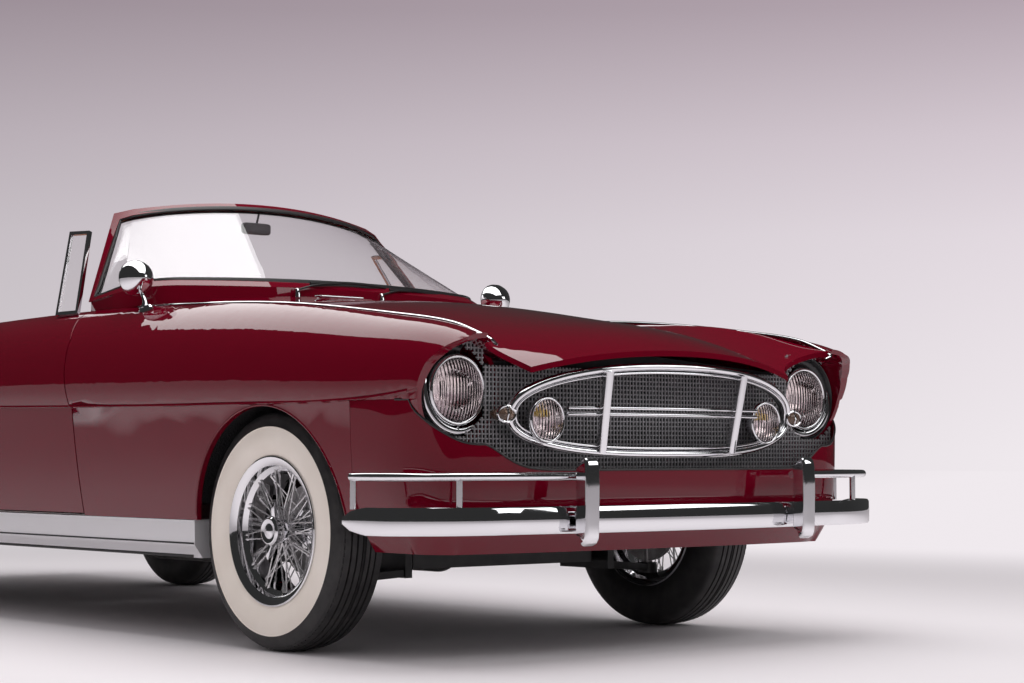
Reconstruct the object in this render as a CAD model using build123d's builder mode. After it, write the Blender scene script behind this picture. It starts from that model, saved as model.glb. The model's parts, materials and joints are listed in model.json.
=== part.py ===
"""Open two-door touring car of the 1950s, built as its separate panels, running gear and cabin pieces.

Frame: +X forward, +Y to the car's left, +Z up. The origin is on the ground, at the middle of the overall
length and width. All sizes are millimetres. Pieces that come in pairs are made on the left (+Y) and mirrored.
"""
import os
from math import cos, radians, sin, sqrt

from build123d import *

# ---------------------------------------------------------------- driving dimensions
LENGTH = 5150.0
FRONT_AXLE_X = 1625.0
WHEELBASE = 2950.0
REAR_AXLE_X = FRONT_AXLE_X - WHEELBASE
TRACK = 1500.0
WHEEL_Y = TRACK / 2

TYRE_R = 348.0
TYRE_W = 186.0
TREAD_W = 132.0
RIM_SEAT_R = 198.0      # bead seat, outside of the rim
RIM_FLANGE_R = 217.0
RIM_HALF_W = 78.0
WHITEWALL_R = 302.0
SPOKES = 14             # per ring of spokes
SPOKE_R = 2.6

SEAT_GAP = 0.3          # between pieces that seat on each other
SHUT_GAP = 6.0          # shut lines round doors and lids
SKIN = 16.0             # outer panel, with its returned edges
LIP_T, LIP_W = 3.0, 25.0        # thin edge of a door or lid that swings over its neighbour
SIDE_CORE_Y = 560.0     # inboard face of the block that the body sides are cut from

# Body side, one row per station: x, crease half-width, crease height, ridge half-width, ridge height.
SIDE = (
    (-2480, 800, 792, 716, 985),
    (-2300, 836, 786, 728, 1016),
    (-1950, 862, 776, 742, 1036),
    (-1325, 879, 760, 756, 1036),
    (-700, 882, 746, 760, 1032),
    (-100, 882, 736, 758, 1042),
    (520, 882, 727, 755, 1048),
    (1105, 882, 720, 748, 1039),
    (1590, 881, 718, 740, 1014),
    (2096, 873, 722, 722, 958),
    (2300, 860, 740, 702, 926),
    (2434, 846, 764, 688, 880),
)
SILL_Y = 842.0          # painted side at its lower edge
SILL_Z = 372.0
SHOULDER_Y = 0.80       # fullness of the shoulder, as shares of its width and height
SHOULDER_Z = 0.70
FLANK_BULGE = 0.66      # where the flank's arc passes, as a share of crease less sill width
CREASE_STEP, CREASE_DROP = 9.0, 5.0     # how far the flank is set back under the crease

# Deck over the car's middle, one row per station: x, centre height, valley share of ridge width, valley height.
HOOD = (
    (2500, 858, 0.75, 772),
    (2400, 905, 0.75, 812),
    (2100, 970, 0.76, 896),
    (1700, 1028, 0.78, 972),
    (1300, 1070, 0.80, 1022),
    (880, 1104, 0.82, 1062),
)
TAIL = (
    (-1150, 1040, 0.84, 1028),
    (-1500, 1022, 0.82, 1002),
    (-1900, 972, 0.80, 950),
    (-2250, 896, 0.78, 882),
    (-2460, 830, 0.76, 826),
)
HOOD_REAR_X = 920.0
HOOD_LIP_X = 2490.0
HOOD_LIP_VALLEY_X = 2412.0
HOOD_TIP_X = 2436.0
HOOD_TIP_Y = 680.0
HOOD_CORNER_X, HOOD_CORNER_Y = 2368.0, 640.0
HOOD_VALLEY_Y = 519.0
HOOD_HINGE_X, HOOD_HINGE_Y, HOOD_HINGE_Z = 890.0, 420.0, 1050.0
TAIL_X = -2464.0
TAIL_SKIN = 16.0
LID_FRONT_X, LID_REAR_X, LID_HALF_W = -1262.0, -2440.0, 560.0
LID_HINGE_X, LID_HINGE_Y, LID_HINGE_Z = -1226.0, 380.0, 1002.0
LID_ARM_W = 18.0
LID_FRONT_GAP = 10.0
DECK_FRONT_X = -1110.0
TRIM_INSET = 7.0        # hood edge, inboard of the ridge

ARCH_R = 385.0
ARCH_Z = 325.0
ARCH_X_OFFSET = 7.0
REAR_ARCH_R = 372.0
HOUSE_R = 424.0
HOUSE_SKIN = 5.0
FRONT_HOUSE_Y = 470.0
REAR_HOUSE_Y = 600.0

DOOR_TOP_X, DOOR_SHOULDER_X, DOOR_CREASE_X, DOOR_FOOT_X = 440.0, 515.0, 536.0, 570.0
DOOR_SHOULDER_Z = 880.0
DOOR_REAR_X = -690.0
DOOR_Z = 380.0
DOOR_INNER_Y = 795.0    # trim face of the door
DOOR_STEP_X = 466.0     # ahead of this only the door's thin lip reaches the shut line
HINGE_X, HINGE_Y = 628.0, 772.0
HINGE_Z = (470.0, 700.0)
HINGE_ARM_H = 24.0
HINGE_LEG_Y = 724.0     # gooseneck's leg, inboard of the shut edge as the door swings
HINGE_EYE_R = 15.0
BELT_TRIM_Z = 930.0     # top of the door's trim face
BELT_INNER_Y = 746.0
HINGE_PIN_R = 7.0

LID_EYE_R = 9.0
LID_PIN_R = 5.0
EAR_T = 7.0

COWL_REAR_X, DASH_FACE_X = 400.0, 600.0
PILLAR_X, PILLAR_Y = 648.0, 745.0

CABIN_Y = 700.0
FLOOR_Z = 320.0
FLOOR_T = 10.0
FIREWALL_X = 880.0
CABIN_REAR_X = -1090.0
CABIN_HALF_W = 735.0
SILL_INNER_Y = 765.0
SILL_LOW_Z, SILL_FRONT_X, SILL_REAR_X = 255.0, 1230.0, -935.0
SEAT_PAN_X, SEAT_PAN_Z = -570.0, 400.0
TUNNEL_HALF_W, TUNNEL_Z = 130.0, 482.0
BOOT_HALF_W = 560.0
REAR_NARROW_X = -885.0
HOUSE_OUTER_Y = 880.0
HOUSE_LOW_Z = 420.0

HUB_R, HUB_IN_Y, HUB_OUT_Y = 44.0, -30.0, 62.0
ENGINE_LOW_Z = 345.0
BRAKE_R, AXLE_R = 132.0, 42.0
SHOCK_Y = 418.0
SPRING_Y = 530.0

HEAD_X, HEAD_Y, HEAD_Z = 2312.0, 699.0, 743.0
HEAD_R = 89.0
HEAD_BEZEL_R = 128.0
NACELLE_R = 140.0
FOG_X, FOG_Y, FOG_Z, FOG_R = 2388.0, 441.0, 664.0, 64.0
GRILLE_X, GRILLE_END_X = 2452.0, 2378.0
GRILLE_HALF_W = 569.0
GRILLE_TOP_Z, GRILLE_BOTTOM_Z = 828.0, 560.0
MESH_LOW_Z = 527.0
NOSE_X, NOSE_SIDE_Y = 2450.0, 880.0

BUMPER_X, BUMPER_TIP_X, BUMPER_TIP_Y = 2522.0, 2180.0, 986.0
BUMPER_LOW_Z, BUMPER_TOP_Z = 356.0, 430.0
GUARD_Y, GUARD_W, GUARD_TOP_Z, GUARD_LOW_Z = 435.0, 50.0, 548.0, 344.0
NUDGE_Z, NUDGE_R = 510.0, 11.0

GRILLE_RING_W, GRILLE_RING_T, GRILLE_TILT = 34.0, 24.0, 9.5
STRUT_Y, BAR_Z = 266.0, 690.0
MESH_X, MESH_T, MESH_HALF_W, MESH_TOP_Z = 2318.0, 5.0, 540.0, 806.0
MESH_COLUMNS, MESH_ROWS, MESH_BAR = 26, 7, 8.0
MESH_PITCH_Y = (2 * MESH_HALF_W - MESH_BAR) / MESH_COLUMNS
MESH_PITCH_Z = (MESH_TOP_Z - MESH_LOW_Z - MESH_BAR) / MESH_ROWS
PARKING_X, PARKING_Y, PARKING_Z = 2389.7, 579.0, 679.0
BLADE_T = 22.0
GUARD_FACE_X = LENGTH / 2
HORN_X, RAIL_REAR_X = 2300.0, -2380.0
IRON_FRONT_Z, IRON_REAR_Z = 386.0, 399.0
REAR_BUMPER_Z = 385.0
TAIL_LAMP_Y, TAIL_LAMP_Z, TAIL_LAMP_R = 742.0, 868.0, 52.0

DASH_REAR_X, DASH_DEPTH, DASH_HALF_W = 545.0, 175.0, 636.0
COLUMN_R, HUB_DEPTH = 22.0, 26.0
STEER_RIM_R, STEER_HUB_R = 11.0, 32.0
FRONT_SEAT_Y, REAR_SEAT_Y = 690.0, 588.0
TOP_X, TOP_BUNDLE_Z, TOP_BUNDLE_W, TOP_BUNDLE_H, TOP_HALF_W = -1020.0, 1018.0, 170.0, 112.0, 640.0
MIRROR_X, MIRROR_Y, MIRROR_Z, MIRROR_R = 815.0, 782.0, 1138.0, 52.0
VENT_T, VENT_BAR = 12.0, 13.0

RAIL_Y, RAIL_W = 365.0, 70.0
KINGPIN_Y = 690.0
KINGPIN_R = 17.0
SPINDLE_R = 22.0
KNUCKLE_LOW_Z, KNUCKLE_TOP_Z = 210.0, 486.0

STEER_X, STEER_Y, STEER_Z = 330.0, 372.0, 985.0
STEER_R = 205.0
STEER_TILT = 26.0


# ---------------------------------------------------------------- helpers
def at(table, x):
    """Row of a table at x, by a cubic through its neighbours that keeps to their slopes."""
    rows = sorted(table)
    x = min(max(x, rows[0][0]), rows[-1][0])
    k = max(i for i in range(len(rows) - 1) if rows[i][0] <= x)
    a, b = rows[k], rows[k + 1]
    before, after = rows[max(k - 1, 0)], rows[min(k + 2, len(rows) - 1)]
    span = b[0] - a[0]
    t = (x - a[0]) / span
    out = []
    for i in range(1, len(a)):
        slope_a = (b[i] - before[i]) / (b[0] - before[0])
        slope_b = (after[i] - a[i]) / (after[0] - a[0])
        out.append(
            (2 * t**3 - 3 * t**2 + 1) * a[i]
            + (t**3 - 2 * t**2 + t) * slope_a * span
            + (3 * t**2 - 2 * t**3) * b[i]
            + (t**3 - t**2) * slope_b * span
        )
    return out


def save(part, name):
    """Writes one node."""
    part.label = name
    export_step(part, f"parts/{name}.step")


def save_pair(part, name):
    """Writes a left-hand piece and its mirror image."""
    save(part, f"{name}_left")
    save(part.mirror(Plane.XZ), f"{name}_right")


def both(part):
    """A left-hand piece and its mirror image as one node."""
    return Compound(children=[*part.solids(), *part.mirror(Plane.XZ).solids()])


def side_section(x, inset):
    """Section of one body side at x, from the skin inward. A section that is inset cuts the hollow inside."""
    crease_y, crease_z, ridge_y, ridge_z = at(SIDE, x)
    low = (SILL_Y - inset, SILL_Z)
    crease = (crease_y - inset, crease_z)
    ridge = (ridge_y, ridge_z - inset)
    under = (crease_y - CREASE_STEP - inset, crease_z - CREASE_DROP)
    flank = (SILL_Y + FLANK_BULGE * (under[0] + inset - SILL_Y) - inset, (SILL_Z + crease_z) / 2)
    shoulder = (
        ridge_y + SHOULDER_Y * (crease_y - ridge_y) - 0.75 * inset,
        crease_z + SHOULDER_Z * (ridge_z - crease_z) - 0.66 * inset,
    )
    top_z = ridge_z if inset == 0 else ridge_z + inset
    with BuildSketch(Plane.YZ.offset(x)) as section:
        with BuildLine():
            ThreePointArc(low, flank, under)
            Line(under, crease)
            ThreePointArc(crease, shoulder, ridge)
            if inset > 0:
                Line(ridge, (ridge_y, top_z))
            Polyline((ridge_y, top_z), (SIDE_CORE_Y, top_z), (SIDE_CORE_Y, SILL_Z), low)
        make_face()
    return section.sketch


def side_core(inset):
    """The whole left body side as one block, inset from the outside."""
    with BuildPart() as core:
        for row in SIDE:
            add(side_section(row[0], inset))
        loft()
    return core.part


def deck_section(x, table, drop, depth, edge_gap):
    """Closed section of the hood or tail deck at x, its top dropped below the outside, between the ridges."""
    centre_z, valley_share, valley_z = at(table, x)
    _, _, ridge_y, ridge_z = at(SIDE, x)
    edge_y = ridge_y - edge_gap
    valley_y = ridge_y * valley_share
    wing_y, wing_z = (valley_y + edge_y) / 2, (valley_z + ridge_z) / 2 - 5
    low, high = depth, drop
    with BuildSketch(Plane.YZ.offset(x)) as section:
        with BuildLine():
            for level in (high, low):
                ThreePointArc(
                    (-edge_y, ridge_z - level), (-wing_y, wing_z - level), (-valley_y, valley_z - level)
                )
                ThreePointArc((-valley_y, valley_z - level), (0, centre_z - level), (valley_y, valley_z - level))
                ThreePointArc((valley_y, valley_z - level), (wing_y, wing_z - level), (edge_y, ridge_z - level))
            Line((-edge_y, ridge_z - high), (-edge_y, ridge_z - low))
            Line((edge_y, ridge_z - high), (edge_y, ridge_z - low))
        make_face()
    return section.sketch


def deck_loft(table, x0, x1, drop=0.0, depth=SKIN, edge_gap=TRIM_INSET):
    """Deck between two stations of a table."""
    stations = sorted({x0, x1} | {row[0] for row in table if x0 < row[0] < x1})
    with BuildPart() as deck:
        for x in stations:
            add(deck_section(x, table, drop, depth, edge_gap))
        loft()
    return deck.part


def side_prism(points, y0=0.0, y1=1100.0):
    """Prism over a side view outline, from y0 to y1."""
    with BuildPart() as prism:
        with BuildSketch(Plane.XZ.offset(-y1)):
            with BuildLine():
                Polyline(*points, close=True)
            make_face()
        extrude(amount=y1 - y0)
    return prism.part


def plan_prism(points, z0, z1):
    """Prism over a plan outline, from z0 to z1."""
    with BuildPart() as prism:
        with BuildSketch(Plane.XY.offset(z0)):
            with BuildLine():
                Polyline(*points, close=True)
            make_face()
        extrude(amount=z1 - z0)
    return prism.part


def box(x0, x1, y0, y1, z0, z1):
    """Solid box between two corners."""
    with BuildPart() as block:
        with Locations(((x0 + x1) / 2, (y0 + y1) / 2, (z0 + z1) / 2)):
            Box(x1 - x0, y1 - y0, z1 - z0)
    return block.part


def cylinder_y(x, z, radius, y0, y1):
    """Cylinder along Y between y0 and y1."""
    with BuildPart() as rod:
        with BuildSketch(Plane.XZ.offset(-y1)):
            with Locations((x, z)):
                Circle(radius)
        extrude(amount=y1 - y0)
    return rod.part


def cylinder_x(y, z, radius, x0, x1):
    """Cylinder along X between x0 and x1."""
    with BuildPart() as rod:
        with BuildSketch(Plane.YZ.offset(x0)):
            with Locations((y, z)):
                Circle(radius)
        extrude(amount=x1 - x0)
    return rod.part


def segment_box(start, end, width, height):
    """Straight bar of rectangular section between two points, its width level."""
    a, b = Vector(*start), Vector(*end)
    along = (b - a).normalized()
    level = Vector(0, 0, 1).cross(along)
    level = level.normalized() if level.length > 1e-6 else Vector(0, 1, 0)
    with BuildPart() as bar:
        with BuildSketch(Plane(origin=a, x_dir=level, z_dir=along)):
            Rectangle(width, height)
        extrude(amount=(b - a).length)
    return bar.part


def rod(start, end, radius, end_radius=None):
    """Round bar between two points, tapered where a second radius is given."""
    a, b = Vector(*start), Vector(*end)
    with BuildPart() as bar:
        with BuildSketch(Plane(origin=a, z_dir=(b - a).normalized())):
            Circle(radius)
        if end_radius is None:
            extrude(amount=(b - a).length)
        else:
            with BuildSketch(Plane(origin=b, z_dir=(b - a).normalized())):
                Circle(end_radius)
            loft()
    return bar.part


def pipe(points, radius, bend):
    """Round pipe along straight runs joined by tangent arcs."""
    with BuildPart() as tube:
        with BuildLine() as route:
            FilletPolyline(*points, radius=bend)
        with BuildSketch(Plane(origin=route.line @ 0, z_dir=route.line % 0)):
            Circle(radius)
        sweep()
    return tube.part


def lid_arm(x, z, y, way, rise, reach, dip):
    """Gooseneck hinge arm in side view: an eye at the axis, a leg below the shut line, and a riser to the lid."""
    with BuildPart() as arm:
        with BuildSketch(Plane.XZ.offset(-y - LID_ARM_W / 2)):
            with BuildLine():
                Polyline(
                    (x - way * 9, z), (x - way * 9, z - dip - 14), (x + way * (reach + 28), z - dip - 14),
                    (x + way * (reach + 28), z + rise), (x + way * reach, z + rise), (x + way * reach, z - dip),
                    (x + way * 9, z - dip), (x + way * 9, z), close=True,
                )
            make_face()
            with Locations((x, z)):
                Circle(LID_EYE_R)
                Circle(LID_PIN_R + SEAT_GAP, mode=Mode.SUBTRACT)
        extrude(amount=LID_ARM_W)
    return arm.part


def hinge_ears(x, z, y, top_z):
    """Pair of ears with the pin of a lid's hinge, hung from the panel above."""
    ear_y = LID_ARM_W / 2 + SEAT_GAP
    with BuildPart() as ears:
        for side in (1, -1):
            centre = y + side * (ear_y + EAR_T / 2)
            add(box(x - 9, x + 9, centre - EAR_T / 2, centre + EAR_T / 2, z - 9, top_z + 8))
        add(cylinder_y(x, z, LID_PIN_R, y - ear_y - EAR_T, y + ear_y + EAR_T))
    return ears.part


def inset_outline(points, gap):
    """Plan outline of four corners, moved in by a gap on every side."""
    middle_x = sum(p[0] for p in points) / len(points)
    return [(x - gap if x > middle_x else x + gap, y - gap if y > 0 else y + gap) for x, y in points]


os.makedirs("parts", exist_ok=True)

# ---------------------------------------------------------------- body sides: fenders, doors
OUTER = side_core(0)
INNER = side_core(SKIN)
LINER_CUT = box(SIDE[0][0], SIDE[-1][0], SIDE_CORE_Y + 1, 1100, 373, 1200) - side_core(SKIN + SEAT_GAP)


def door_line(shift):
    """Front shut line of the door in side view, shifted forward, from the sill up."""
    return [
        (DOOR_FOOT_X + shift, DOOR_Z - 60),
        (DOOR_FOOT_X + shift, DOOR_Z),
        (DOOR_CREASE_X + shift, 727),
        (DOOR_SHOULDER_X + shift, DOOR_SHOULDER_Z),
        (DOOR_SHOULDER_X - 18 + shift, DOOR_SHOULDER_Z + 70),
        (DOOR_TOP_X + shift, 1020),
        (DOOR_TOP_X + shift, 1200),
    ]


# Side view of the door's thin front lip, which swings past the fender's edge.
DOOR_LIP = [
    (DOOR_STEP_X, 0), (DOOR_STEP_X, DOOR_SHOULDER_Z), (DOOR_STEP_X - 19, 940), (DOOR_STEP_X - 53, 980),
    (DOOR_STEP_X - 68, 1020), (DOOR_STEP_X - 68, 1200), (700, 1200), (700, 0),
]
ARCH_X = FRONT_AXLE_X + ARCH_X_OFFSET
FRONT_ARCH = cylinder_y(ARCH_X, ARCH_Z, ARCH_R, 0, 1100) + box(
    ARCH_X - ARCH_R, ARCH_X + ARCH_R, 0, 1100, 100, ARCH_Z
)
REAR_ARCH = cylinder_y(REAR_AXLE_X, ARCH_Z, REAR_ARCH_R, 0, 1100) + box(
    REAR_AXLE_X - REAR_ARCH_R, REAR_AXLE_X + REAR_ARCH_R, 0, 1100, 100, ARCH_Z
)
NOSE_SIDE_X = ARCH_X + sqrt(ARCH_R**2 - 60**2) + 40
NOSE_TOP_Z = 716.0

# Sloping front face of the headlamp nacelle, in side view.
NACELLE_FACE = [(HOOD_TIP_X + 8, 912), (HOOD_TIP_X - 104, 590), (3200, 590), (3200, 912)]

HOOD_ABOVE = deck_loft(HOOD, HOOD_REAR_X, HOOD[0][0], drop=SKIN + 8, depth=-300, edge_gap=0.5)

GRILLE_NOTCH = box(GRILLE_END_X - GRILLE_RING_T - 12, 2600, 0, GRILLE_HALF_W + 6, 0, 812)

with BuildPart() as front_fender:
    add(OUTER)
    add(INNER, mode=Mode.SUBTRACT)
    add(side_prism([*door_line(SHUT_GAP), (-3000, 1200), (-3000, 300)]), mode=Mode.SUBTRACT)
    add(FRONT_ARCH, mode=Mode.SUBTRACT)
    add(box(NOSE_SIDE_X, 3000, 0, 1100, 300, NOSE_TOP_Z + 1), mode=Mode.SUBTRACT)
    add(cylinder_x(HEAD_Y, HEAD_Z, NACELLE_R + 10, 2190, 2500))
    add(cylinder_x(HEAD_Y, HEAD_Z, NACELLE_R - 4, 2100, 2600), mode=Mode.SUBTRACT)
    add(GRILLE_NOTCH, mode=Mode.SUBTRACT)
    add(side_prism(NACELLE_FACE), mode=Mode.SUBTRACT)
    add(HOOD_ABOVE, mode=Mode.SUBTRACT)
save_pair(front_fender.part, "front_fender")

with BuildPart() as rear_fender:
    add(OUTER)
    add(INNER, mode=Mode.SUBTRACT)
    add(box(DOOR_REAR_X - SHUT_GAP, 3000, 0, 1100, 0, 1300), mode=Mode.SUBTRACT)
    add(REAR_ARCH, mode=Mode.SUBTRACT)
    add(box(-3000, TAIL_X, 0, 1100, 0, 1300), mode=Mode.SUBTRACT)
save_pair(rear_fender.part, "rear_fender")

with BuildPart() as door:
    add(OUTER)
    with BuildSketch(Plane.XZ.offset(-1100)):
        with BuildLine():
            Polyline(*door_line(0)[1:], (DOOR_REAR_X, 1200), (DOOR_REAR_X, DOOR_Z), close=True)
        make_face()
    extrude(amount=1100, mode=Mode.INTERSECT)
    add(box(-3000, 3000, 0, DOOR_INNER_Y, 0, BELT_TRIM_Z), mode=Mode.SUBTRACT)
    add(box(-3000, 3000, 0, BELT_INNER_Y, 0, 1200), mode=Mode.SUBTRACT)
    door_front = side_core(LIP_T).intersect(side_prism(DOOR_LIP))
    add(door_front, mode=Mode.SUBTRACT)
    for hinge_z in HINGE_Z:
        with BuildSketch(Plane.XY.offset(hinge_z - HINGE_ARM_H / 2)):
            with BuildLine():
                Polyline(
                    (HINGE_X - 12, HINGE_Y),
                    (HINGE_X - 12, HINGE_LEG_Y + 14),
                    (DOOR_STEP_X - 4, HINGE_LEG_Y + 14),
                    (DOOR_STEP_X - 4, DOOR_INNER_Y + 10),
                    (DOOR_STEP_X - 34, DOOR_INNER_Y + 10),
                    (DOOR_STEP_X - 34, HINGE_LEG_Y),
                    (HINGE_X + 8, HINGE_LEG_Y),
                    (HINGE_X + 12, HINGE_Y),
                    close=True,
                )
            make_face()
            with Locations((HINGE_X, HINGE_Y)):
                Circle(HINGE_EYE_R)
                Circle(HINGE_PIN_R + SEAT_GAP, mode=Mode.SUBTRACT)
        extrude(amount=HINGE_ARM_H)
save_pair(door.part, "door")

# ---------------------------------------------------------------- hood, decks, nose and tail
with BuildPart() as hood:
    add(deck_loft(HOOD, HOOD_REAR_X, HOOD[0][0]))
    with BuildSketch(Plane.XY.offset(500)):
        with BuildLine():
            Polyline(
                (HOOD_TIP_X, HOOD_TIP_Y), (HOOD_TIP_X, 900), (HOOD_REAR_X, 900),
                (HOOD_REAR_X, -900), (HOOD_TIP_X, -900), (HOOD_TIP_X, -HOOD_TIP_Y),
            )
            ThreePointArc(
                (HOOD_TIP_X, -HOOD_TIP_Y), (HOOD_CORNER_X, -HOOD_CORNER_Y), (HOOD_LIP_VALLEY_X, -HOOD_VALLEY_Y)
            )
            ThreePointArc((HOOD_LIP_VALLEY_X, -HOOD_VALLEY_Y), (HOOD_LIP_X, 0), (HOOD_LIP_VALLEY_X, HOOD_VALLEY_Y))
            ThreePointArc(
                (HOOD_LIP_VALLEY_X, HOOD_VALLEY_Y), (HOOD_CORNER_X, HOOD_CORNER_Y), (HOOD_TIP_X, HOOD_TIP_Y)
            )
        make_face()
    extrude(amount=1000, mode=Mode.INTERSECT)
    add(deck_loft(HOOD, HOOD_REAR_X - 2, HOOD_REAR_X + LIP_W, drop=LIP_T, depth=SKIN + 8, edge_gap=0),
        mode=Mode.SUBTRACT)
    for y in (-HOOD_HINGE_Y, HOOD_HINGE_Y):
        add(lid_arm(HOOD_HINGE_X, HOOD_HINGE_Z, y, 1, 24, 50, 16))
save(hood.part, "hood")

LID_OUTLINE = [
    (LID_FRONT_X, LID_HALF_W), (LID_FRONT_X, -LID_HALF_W),
    (LID_REAR_X, -LID_HALF_W + 70), (LID_REAR_X, LID_HALF_W - 70),
]
with BuildPart() as rear_deck:
    add(deck_loft(TAIL, TAIL_X, DECK_FRONT_X, edge_gap=SEAT_GAP))
    add(plan_prism(LID_OUTLINE, 600, 1200), mode=Mode.SUBTRACT)
    for y in (-LID_HINGE_Y, LID_HINGE_Y):
        add(hinge_ears(LID_HINGE_X, LID_HINGE_Z, y, at(TAIL, LID_HINGE_X)[0] - SKIN - 2))
save(rear_deck.part, "rear_deck")

with BuildPart() as boot_lid:
    add(deck_loft(TAIL, LID_REAR_X, LID_FRONT_X))
    add(plan_prism(inset_outline(LID_OUTLINE, SHUT_GAP), 600, 1200), mode=Mode.INTERSECT)
    add(deck_loft(TAIL, LID_FRONT_X - LIP_W, LID_FRONT_X + 2, drop=LIP_T, depth=SKIN + 8, edge_gap=0),
        mode=Mode.SUBTRACT)
    add(box(LID_FRONT_X - LID_FRONT_GAP, LID_FRONT_X, -LID_HALF_W, LID_HALF_W, 900, 1200), mode=Mode.SUBTRACT)
    for y in (-LID_HINGE_Y, LID_HINGE_Y):
        add(lid_arm(LID_HINGE_X, LID_HINGE_Z, y, -1, 18, 58, 26))
save(boot_lid.part, "boot_lid")

# Nose below the crease line, one row per level: height, inset from the widest outline.
NOSE_LEVELS = ((312, 62), (400, 12), (520, 0), (NOSE_TOP_Z, 0))


def nose_section(z, inset, wall):
    """Band that wraps the nose at height z, from wheel arch to wheel arch."""
    with BuildSketch(Plane.XY.offset(z)) as section:
        with BuildLine():
            for step in (inset, inset + wall):
                corner_y = NOSE_SIDE_Y - step
                ThreePointArc(
                    (2215, corner_y), (2350 - 0.7 * step, 818 - 0.7 * step), (2408 - step, 690 - 0.3 * step)
                )
                ThreePointArc(
                    (2408 - step, 690 - 0.3 * step), (NOSE_X - step, 0), (2408 - step, -690 + 0.3 * step)
                )
                ThreePointArc(
                    (2408 - step, -690 + 0.3 * step), (2350 - 0.7 * step, -818 + 0.7 * step), (2215, -corner_y)
                )
                Line((NOSE_SIDE_X, corner_y), (2215, corner_y))
                Line((NOSE_SIDE_X, -corner_y), (2215, -corner_y))
            for side in (1, -1):
                Line(
                    (NOSE_SIDE_X, side * (NOSE_SIDE_Y - inset)), (NOSE_SIDE_X, side * (NOSE_SIDE_Y - inset - wall))
                )
        make_face()
    return section.sketch


with BuildPart() as nose_panel:
    for level, inset in NOSE_LEVELS:
        add(nose_section(level, inset, SKIN))
    loft()
    add(box(2000, 3000, -GRILLE_HALF_W - 36, GRILLE_HALF_W + 36, MESH_LOW_Z, 900), mode=Mode.SUBTRACT)
    for y in (-HEAD_Y, HEAD_Y):
        add(cylinder_x(y, HEAD_Z, NACELLE_R + 10 + SEAT_GAP, 2000, 3000), mode=Mode.SUBTRACT)
    with BuildSketch(Plane.XY.offset(MESH_LOW_Z - SKIN)):
        with BuildLine():
            ThreePointArc((2408, 620), (NOSE_X - 6, 0), (2408, -620))
            Polyline((2408, -620), (2312, -620), (2312, 620), (2408, 620))
        make_face()
    extrude(amount=SKIN - SEAT_GAP)
    for side in (1, -1):
        add(box(2300, 2540, *sorted((side * 338, side * 392)), IRON_FRONT_Z - 18, IRON_FRONT_Z + 18),
            mode=Mode.SUBTRACT)
save(nose_panel.part, "nose_panel")

with BuildPart() as tail_panel:
    with BuildSketch(Plane.YZ.offset(TAIL_X - SEAT_GAP)):
        tail_crease_y, tail_crease_z, tail_ridge_y, tail_ridge_z = at(SIDE, TAIL_X)
        tail_centre_z = at(TAIL, TAIL_X)[0]
        with BuildLine():
            Polyline((-SILL_Y + 46, 420), (SILL_Y - 46, 420))
            ThreePointArc((SILL_Y - 46, 420), (tail_crease_y - 4, 600), (tail_crease_y - 2, tail_crease_z))
            ThreePointArc(
                (tail_crease_y - 2, tail_crease_z),
                (tail_ridge_y + SHOULDER_Y * (tail_crease_y - tail_ridge_y) - 2, tail_crease_z
                 + SHOULDER_Z * (tail_ridge_z - tail_crease_z)),
                (tail_ridge_y, tail_ridge_z),
            )
            Line((tail_ridge_y, tail_ridge_z), (tail_ridge_y - 120, tail_centre_z))
            Line((tail_ridge_y - 120, tail_centre_z), (-tail_ridge_y + 120, tail_centre_z))
            Line((-tail_ridge_y + 120, tail_centre_z), (-tail_ridge_y, tail_ridge_z))
            ThreePointArc(
                (-tail_ridge_y, tail_ridge_z),
                (-tail_ridge_y - SHOULDER_Y * (tail_crease_y - tail_ridge_y) + 2, tail_crease_z
                 + SHOULDER_Z * (tail_ridge_z - tail_crease_z)),
                (-tail_crease_y + 2, tail_crease_z),
            )
            ThreePointArc((-tail_crease_y + 2, tail_crease_z), (-tail_crease_y + 4, 600), (-SILL_Y + 46, 420))
        make_face()
    extrude(amount=-TAIL_SKIN)
save(tail_panel.part, "tail_panel")

# ---------------------------------------------------------------- cowl and windshield
# Plan of the glass: five points a side, each with its outward direction. Base, then top.
GLASS_BASE = (
    ((856, 0), (1.0, 0.0)), ((776, 620), (0.93, 0.36)), ((716, 702), (0.62, 0.78)),
    ((620, 732), (0.0, 1.0)), ((420, 738), (0.03, 1.0)),
)
GLASS_TOP = (
    ((350, 0), (1.0, 0.0)), ((318, 360), (0.97, 0.24)), ((304, 430), (0.93, 0.36)),
    ((288, 500), (0.88, 0.47)), ((264, 562), (0.82, 0.57)),
)
BASE_Z, BASE_SLOPE = 1131.0, 0.115
TOP_Z, TOP_SLOPE = 1462.0, 0.72
PLINTH_DROP = 60.0


def glass_points(share, push):
    """Points of the windshield band at a share of its height, pushed outward, and the height and slope there."""
    points = []
    for (base, base_way), (top, top_way) in zip(GLASS_BASE, GLASS_TOP):
        x = base[0] + share * (top[0] - base[0])
        y = base[1] + share * (top[1] - base[1])
        way_x = base_way[0] + share * (top_way[0] - base_way[0])
        way_y = base_way[1] + share * (top_way[1] - base_way[1])
        size = sqrt(way_x**2 + way_y**2)
        points.append((x + push * way_x / size, y + push * way_y / size))
    front_x = GLASS_BASE[0][0][0] + share * (GLASS_TOP[0][0][0] - GLASS_BASE[0][0][0])
    height = BASE_Z + share * (TOP_Z - BASE_Z)
    slope = BASE_SLOPE + share * (TOP_SLOPE - BASE_SLOPE)
    return points, front_x, height, slope


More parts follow.
